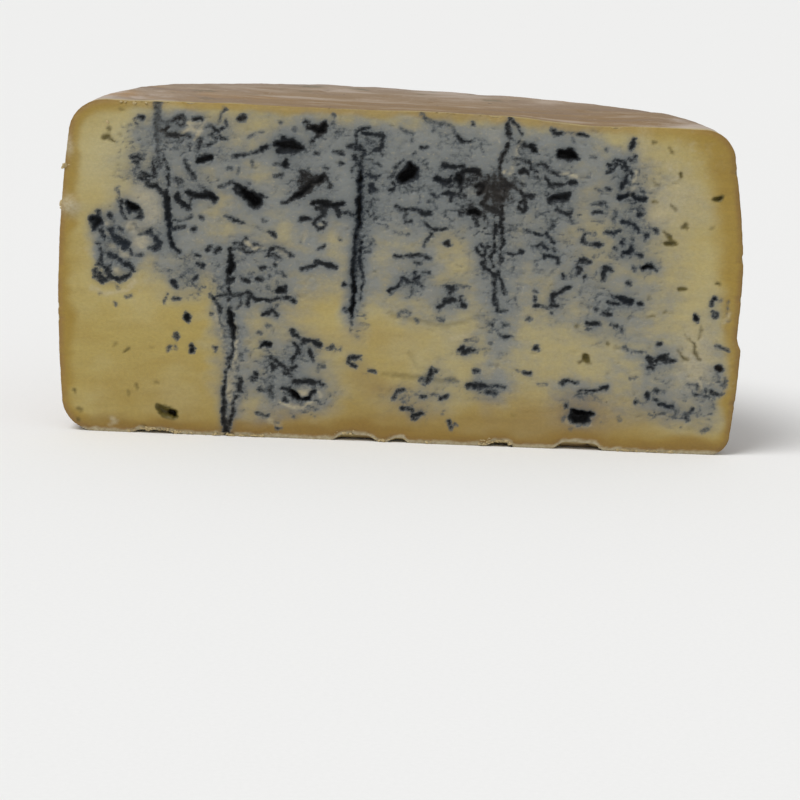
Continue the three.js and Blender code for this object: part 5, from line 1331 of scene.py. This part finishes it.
def rind_material(colours):
    """Brushed and aged natural rind: dry pinkish bloom over ochre, with press marks, pin-holes and spots."""
    material, tree = new_material("brushed_natural_rind")
    place = millimetres(tree)
    pit, behind = attribute(tree, "pit"), attribute(tree, "behind")
    patches = noise_node(tree, place, (42, 42, 34), 4.0)
    bloom = noise_node(tree, place, (13, 13, 9), 5.0, 0.65, 11.0)
    pressed = noise_node(tree, place, (11, 11, 1.5), 3.0, 0.6, 5.0)
    powder = noise_node(tree, place, (1.6, 1.6, 1.4), 4.0, 0.7, 3.0)
    spots = noise_node(tree, place, (9, 9, 8), 2.0, 0.5, 23.0)
    spot_field = noise_node(tree, place, (60, 60, 40), 2.0, 0.5, 31.0)
    # Specks of mould stand about 5.5 mm apart.
    specks = add(tree, "ShaderNodeTexVoronoi", {"Vector": place, "Scale": 1 / 5.5, "Randomness": 1.0})
    speck_size = ramp(tree, noise_node(tree, place, (7, 7, 7), 1.0, 0.5, 41.0), 0.5, 0.75, 0, 0.13)
    speck = maths(tree, "LESS_THAN", specks.outputs["Distance"], speck_size)
    scored = noise_node(tree, place, (30, 8, 9), 3.0, 0.5, 17.0)  # long strokes of the brush over the top
    along, _, height = add(tree, "ShaderNodeSeparateXYZ", {0: place}).outputs
    on_top = ramp(tree, height, 86.0, 92.0)
    flat = add(tree, "ShaderNodeVectorMath", {0: place, 1: (1, 1, 0)}, operation="MULTIPLY").outputs[0]
    from_middle = add(tree, "ShaderNodeVectorMath", {0: flat}, operation="LENGTH").outputs["Value"]
    outer = plus(tree, from_middle, ramp(tree, bloom, 0.3, 0.7, -8, 8))
    away = times(tree, behind, ramp(tree, height, 75.0, 94.0, 4, 1))
    near_cut = plus(tree, away, ramp(tree, bloom, 0.3, 0.7, -8, 8))
    left_end, right_end = ramp(tree, along, -92.0, -20.0, 0.45, 1), ramp(tree, along, 96.0, 66.0, 0.45, 1)
    ends = maths(tree, "MINIMUM", left_end, right_end)
    cut_edge = times(tree, ramp(tree, near_cut, 120.0, 12.0, 0, 0.95), ends)
    pitted = plus(tree, pit, ramp(tree, powder, 0.3, 0.7, -0.25, 0.25))
    by_edge = plus(tree, behind, ramp(tree, pressed, 0.3, 0.7, -2.5, 2.5))
    rubbed = times(tree, ramp(tree, patches, 0.56, 0.68), ramp(tree, bloom, 0.72, 0.4, 0, 0.8))
    spotted = times(tree, ramp(tree, spots, 0.6, 0.72, 0, 0.8), ramp(tree, spot_field, 0.4, 0.62))
    layers = (
        (colours.rind_ochre, rubbed),
        (colours.rind_pale, ramp(tree, bloom, 0.5, 0.72, 0, 0.7)),
        (colours.rind_pressed, ramp(tree, pressed, 0.52, 0.72, 0, 0.5)),
        (colours.rind_pale, ramp(tree, pressed, 0.42, 0.25, 0, 0.35)),
        (colours.rind_green, spotted),
        (colours.rind_cut_edge, cut_edge),
        (colours.rind_pressed, times(tree, ramp(tree, scored, 0.5, 0.7, 0, 0.45), on_top)),
        (colours.rind_pale, times(tree, ramp(tree, scored, 0.5, 0.28, 0, 0.4), on_top)),
        (colours.rind_pale, times(tree, ramp(tree, outer, 80.0, 98.0, 0, 0.6), on_top)),
        (colours.paste_pale, ramp(tree, by_edge, 6.0, 0.5, 0, 0.6)),
        (colours.rind_pale, ramp(tree, powder, 0.55, 0.75, 0, 0.3)),
        (colours.rind_speck, times(tree, speck, 0.75)),
        (colours.rind_speck, ramp(tree, pitted, 0.35, 1.0, 0, 0.8)),
    )
    colour = layered(tree, colours.rind_pink, layers)
    raised = plus(tree, times(tree, powder, 0.6), times(tree, pressed, 0.8))
    return finished(material, colour, ramp(tree, bloom, 0.3, 0.7, 0.72, 0.9), raised, 0.6, 0.5, IOR=1.45)


def crumb_material(colours):
    """Loose curd: dry, pale and matt, a little greyed."""
    material, tree = new_material("loose_curd")
    place = millimetres(tree)
    curd = noise_node(tree, place, (1.4, 1.4, 1.2), 4.0, 0.65)
    browned = noise_node(tree, place, (6, 6, 6), 2.0)
    layers = (
        (colours.white_curd_and_highlights, ramp(tree, curd, 0.45, 0.75, 0, 0.7)),
        (colours.paste_oily_and_base_shade, ramp(tree, browned, 0.45, 0.7, 0, 0.2)),
    )
    colour = layered(tree, colours.crumb, layers)
    return finished(material, colour, ramp(tree, curd, 0.3, 0.7, 0.6, 0.85), curd, 0.6, 0.3, IOR=1.4)


def floor_material(colour):
    """Matt white studio paper: even, with no shine."""
    material, tree = new_material("studio_paper")
    objects = add(tree, "ShaderNodeTexCoord").outputs["Object"]
    grain = add(tree, "ShaderNodeTexNoise", {"Vector": objects, "Scale": 900.0, "Detail": 2.0}).outputs["Fac"]
    limits = {"Value": grain, "From Min": 0.3, "From Max": 0.7, "To Min": 0.99, "To Max": 1.01}
    shade = add(tree, "ShaderNodeMapRange", limits).outputs[0]
    tone = add(tree, "ShaderNodeVectorMath", {0: colour, 3: shade}, operation="SCALE").outputs[0]
    shader = add(tree, "ShaderNodeBsdfPrincipled", {"Base Color": tone, "Roughness": 0.95})
    add(tree, "ShaderNodeOutputMaterial", {"Surface": shader.outputs[0]})
    return material


# ---- Settings ----


def colour_property(name, hex_colour, description):
    return bpy.props.FloatVectorProperty(
        name=name, description=description, subtype="COLOR", size=3, min=0, max=1, default=linear(hex_colour)
    )


def number_property(name, default, description, **kind):
    return bpy.props.FloatProperty(name=name, description=description, default=default, **kind)


class CheeseForm(bpy.types.PropertyGroup):
    """How strong the relief of the cheese is, and how many crumbs it has."""

    cut_relief: number_property("Cut relief", 1, "How strong the eyes and channels are", min=0)
    rind_relief: number_property("Rind relief", 1, "How strong the press marks and pin-holes are", min=0)
    crumbs: bpy.props.IntProperty(
        name="Crumbs", description="Crumbs along the lower edge of the cut", default=170, min=0
    )


class CheeseColours(bpy.types.PropertyGroup):
    """Colours of the paste, the mould and the rind."""

    paste_clear: colour_property("Clear paste", "#AE9A58", "Paste that the mould hasn't reached")
    paste_pale: colour_property("Pale paste", "#B5A56C", "Paler curd in the clear paste")
    paste_streak: colour_property("Streaks", "#A08A4A", "Deeper streaks in the clear paste")
    paste_milky: colour_property("Milky paste", "#BAAF83", "Paler, milky paste")
    # Also paints the shade along the base of the cut, and browns the crumbs.
    paste_oily_and_base_shade: colour_property("Oily paste", "#82642F", "Deeper paste low on the cut")
    paste_greyed: colour_property("Greyed paste", "#828582", "Paste between the mould marks")
    paste_curd: colour_property("Curd in the mould", "#949287", "Paler curd between the mould marks")
    # Also paints the small highlights flecked over the greyed paste.
    white_curd_and_highlights: colour_property("White curd", "#B5AA8C", "Pale crumbly curd")
    paste_blued: colour_property("Blued paste", "#6A7478", "Paste stained by fresh mould")
    paste_ochre: colour_property("Ochre band", "#9B7F32", "Paste just under the rind")
    rind_edge: colour_property("Rind edge", "#8A6A3C", "The rind where it is cut through")
    mould_grey: colour_property("Grey mould", "#53585A", "Thin mould round and between the marks")
    mould_olive: colour_property("Olive mould", "#5F5424", "Mould in the clear paste's eyes")
    # Painted shade in the olive eyes, over the olive mould.
    olive_hollow_shade: colour_property("Olive hollows", "#2A2412", "The bottom of the clear paste's eyes")
    mould_dark: colour_property("Dark mould", "#1B1E21", "The marks themselves")
    mould_blue: colour_property("Blue mould", "#19212A", "Marks of fresh mould")
    mould_brown: colour_property("Brown mould", "#27221D", "Marks of old mould")
    # Painted shade at the bottom of the deep eyes.
    hollow_shade: colour_property("Hollows", "#0B0B0C", "The bottom of the open eyes")
    rind_pink: colour_property("Rind", "#A09183", "The rind's main colour")
    rind_ochre: colour_property("Ochre rind", "#B78E5C", "Patches where the bloom has rubbed off")
    rind_pale: colour_property("Pale bloom", "#C4B7AC", "Powdery bloom")
    rind_pressed: colour_property("Press marks", "#7D6C60", "Fine lines that the cloth pressed in")
    rind_green: colour_property("Mould spots", "#6A7067", "Grey-green spots")
    rind_cut_edge: colour_property("Rind by the cut", "#866B45", "The rind's edge beside the cut")
    rind_speck: colour_property("Specks", "#3A332E", "Pin-holes, cracks and specks")
    crumb: colour_property("Crumbs", "#B9A67A", "Loose crumbs of paste")


class CheeseStudio(bpy.types.PropertyGroup):
    """Camera and light."""

    distance: number_property("Distance", 0.765, "Camera to the cut", unit="LENGTH")
    aside: number_property("Aside", 0.00095, "Camera right of the middle of the cut", unit="LENGTH")
    eye_height: number_property("Eye height", 0.1565, "Camera over the base", unit="LENGTH")
    look_down: number_property("Look down", math.radians(10.63), "Camera's tilt", subtype="ANGLE")
    roll: number_property("Roll", math.radians(2.26), "Camera's roll", subtype="ANGLE")
    lens: number_property("Lens", 119.4, "Focal length in millimetres on a 36 mm wide frame")
    floor: colour_property("Floor", "#F2F2F1", "Studio paper")
    dome: number_property("Dome light", 0.51, "Even light from all round")
    key: number_property("Key light", 1.75, "Soft light from the front left")
    key_height: number_property("Key height", math.radians(60), "Key light over the floor", subtype="ANGLE")
    key_side: number_property("Key side", math.radians(50), "Key light left of the view", subtype="ANGLE")
    key_spread: number_property("Key spread", math.radians(30), "How wide the key light is", subtype="ANGLE")


# ---- Operators ----


class CHEESE_OT_body(bpy.types.Operator):
    """Makes the half wheel: its cut with eyes, mould and needle channels, and its rind"""

    bl_idname = "cheese.body"
    bl_label = "Half wheel"

    def execute(self, context):
        settings = context.scene
        points, faces, fields = build_body(settings.cheese_form)
        mesh = bpy.data.meshes.new("half_wheel")
        mesh.from_pydata(in_frame(points).tolist(), [], [face for face, kind in faces])
        mesh.materials.append(paste_material(settings.cheese_colours))
        mesh.materials.append(rind_material(settings.cheese_colours))
        mesh.polygons.foreach_set("material_index", [0 if kind == "cut" else 1 for face, kind in faces])
        mesh.polygons.foreach_set("use_smooth", [True] * len(faces))
        for name, values in fields.items():
            mesh.attributes.new(name, "FLOAT", "POINT").data.foreach_set("value", values.astype(np.float32))
        shaped = bmesh.new()
        shaped.from_mesh(mesh)
        bmesh.ops.recalc_face_normals(shaped, faces=shaped.faces)
        shaped.to_mesh(mesh)
        shaped.free()
        body = new_object("half_wheel", mesh)
        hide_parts("cheese")
        return {"FINISHED"}


class CHEESE_OT_crumbs(bpy.types.Operator):
    """Makes the crumbs that cling to the cut"""

    bl_idname = "cheese.crumbs"
    bl_label = "Crumbs"

    def execute(self, context):
        settings = context.scene
        points, faces = build_crumbs(settings.cheese_form.crumbs)
        mesh = bpy.data.meshes.new("crumbs")
        mesh.from_pydata(in_frame(points).tolist(), [], faces)
        mesh.materials.append(crumb_material(settings.cheese_colours))
        new_object("crumbs", mesh)
        return {"FINISHED"}


FLOOR_HALF = 30  # half the floor's width in metres, so that its edge is out of sight


class CHEESE_OT_studio(bpy.types.Operator):
    """Makes the floor, the lights and the camera"""

    bl_idname = "cheese.studio"
    bl_label = "Studio"

    def execute(self, context):
        studio = context.scene.cheese_studio
        mesh = bpy.data.meshes.new("floor")
        signs = ((-1, -1), (1, -1), (1, 1), (-1, 1))
        corners = [(x * FLOOR_HALF, y * FLOOR_HALF, 0) for x, y in signs]
        mesh.from_pydata(corners, [], [(0, 1, 2, 3)])
        mesh.materials.append(floor_material(studio.floor))
        floor = bpy.data.objects.new("floor", mesh)
        context.scene.collection.objects.link(floor)

        world = bpy.data.worlds.new("studio")
        world.use_nodes = True
        background = world.node_tree.nodes["Background"]
        background.inputs["Color"].default_value = (1, 1, 1, 1)
        background.inputs["Strength"].default_value = studio.dome
        context.scene.world = world

        key = bpy.data.lights.new("key", "SUN")
        key.energy = studio.key
        key.angle = studio.key_spread
        lamp = bpy.data.objects.new("key", key)
        lamp.rotation_euler = (math.pi / 2 - studio.key_height, 0, -studio.key_side)
        context.scene.collection.objects.link(lamp)

        camera = bpy.data.cameras.new("camera")
        camera.sensor_width = 36
        camera.sensor_fit = "HORIZONTAL"
        camera.lens = studio.lens
        camera.clip_end = 100
        viewer = bpy.data.objects.new("camera", camera)
        place = (studio.aside, cut_plane() * MM - studio.distance, studio.eye_height)
        viewer.matrix_world = (
            Matrix.Translation(place)
            @ Matrix.Rotation(math.pi / 2 - studio.look_down, 4, "X")
            @ Matrix.Rotation(studio.roll, 4, "Z")
        )
        context.scene.collection.objects.link(viewer)
        context.scene.camera = viewer
        context.scene.view_settings.view_transform = "Standard"
        return {"FINISHED"}


class CHEESE_PT_panel(bpy.types.Panel):
    """Lists what the add-on makes"""

    bl_label = "Blue cheese"
    bl_idname = "CHEESE_PT_panel"
    bl_space_type = "VIEW_3D"
    bl_region_type = "UI"
    bl_category = "Cheese"

    def draw(self, context):
        for operator in OPERATORS:
            self.layout.operator(operator.bl_idname)
        for group in GROUPS:
            settings = getattr(context.scene, group)
            for name in settings.bl_rna.properties.keys():
                if name not in ("rna_type", "name"):
                    self.layout.prop(settings, name)


GROUPS = {"cheese_form": CheeseForm, "cheese_colours": CheeseColours, "cheese_studio": CheeseStudio}
OPERATORS = (CHEESE_OT_studio, CHEESE_OT_body, CHEESE_OT_crumbs)


def register():
    for name, group in GROUPS.items():
        bpy.utils.register_class(group)
        setattr(bpy.types.Scene, name, bpy.props.PointerProperty(type=group))
    for made in (*OPERATORS, CHEESE_PT_panel):
        bpy.utils.register_class(made)


def unregister():
    for made in (CHEESE_PT_panel, *OPERATORS):
        bpy.utils.unregister_class(made)
    for name, group in GROUPS.items():
        delattr(bpy.types.Scene, name)
        bpy.utils.unregister_class(group)


def main():
    register()
    bpy.ops.cheese.studio()
    bpy.ops.cheese.body()
    bpy.ops.cheese.crumbs()


if __name__ == "__main__":
    main()
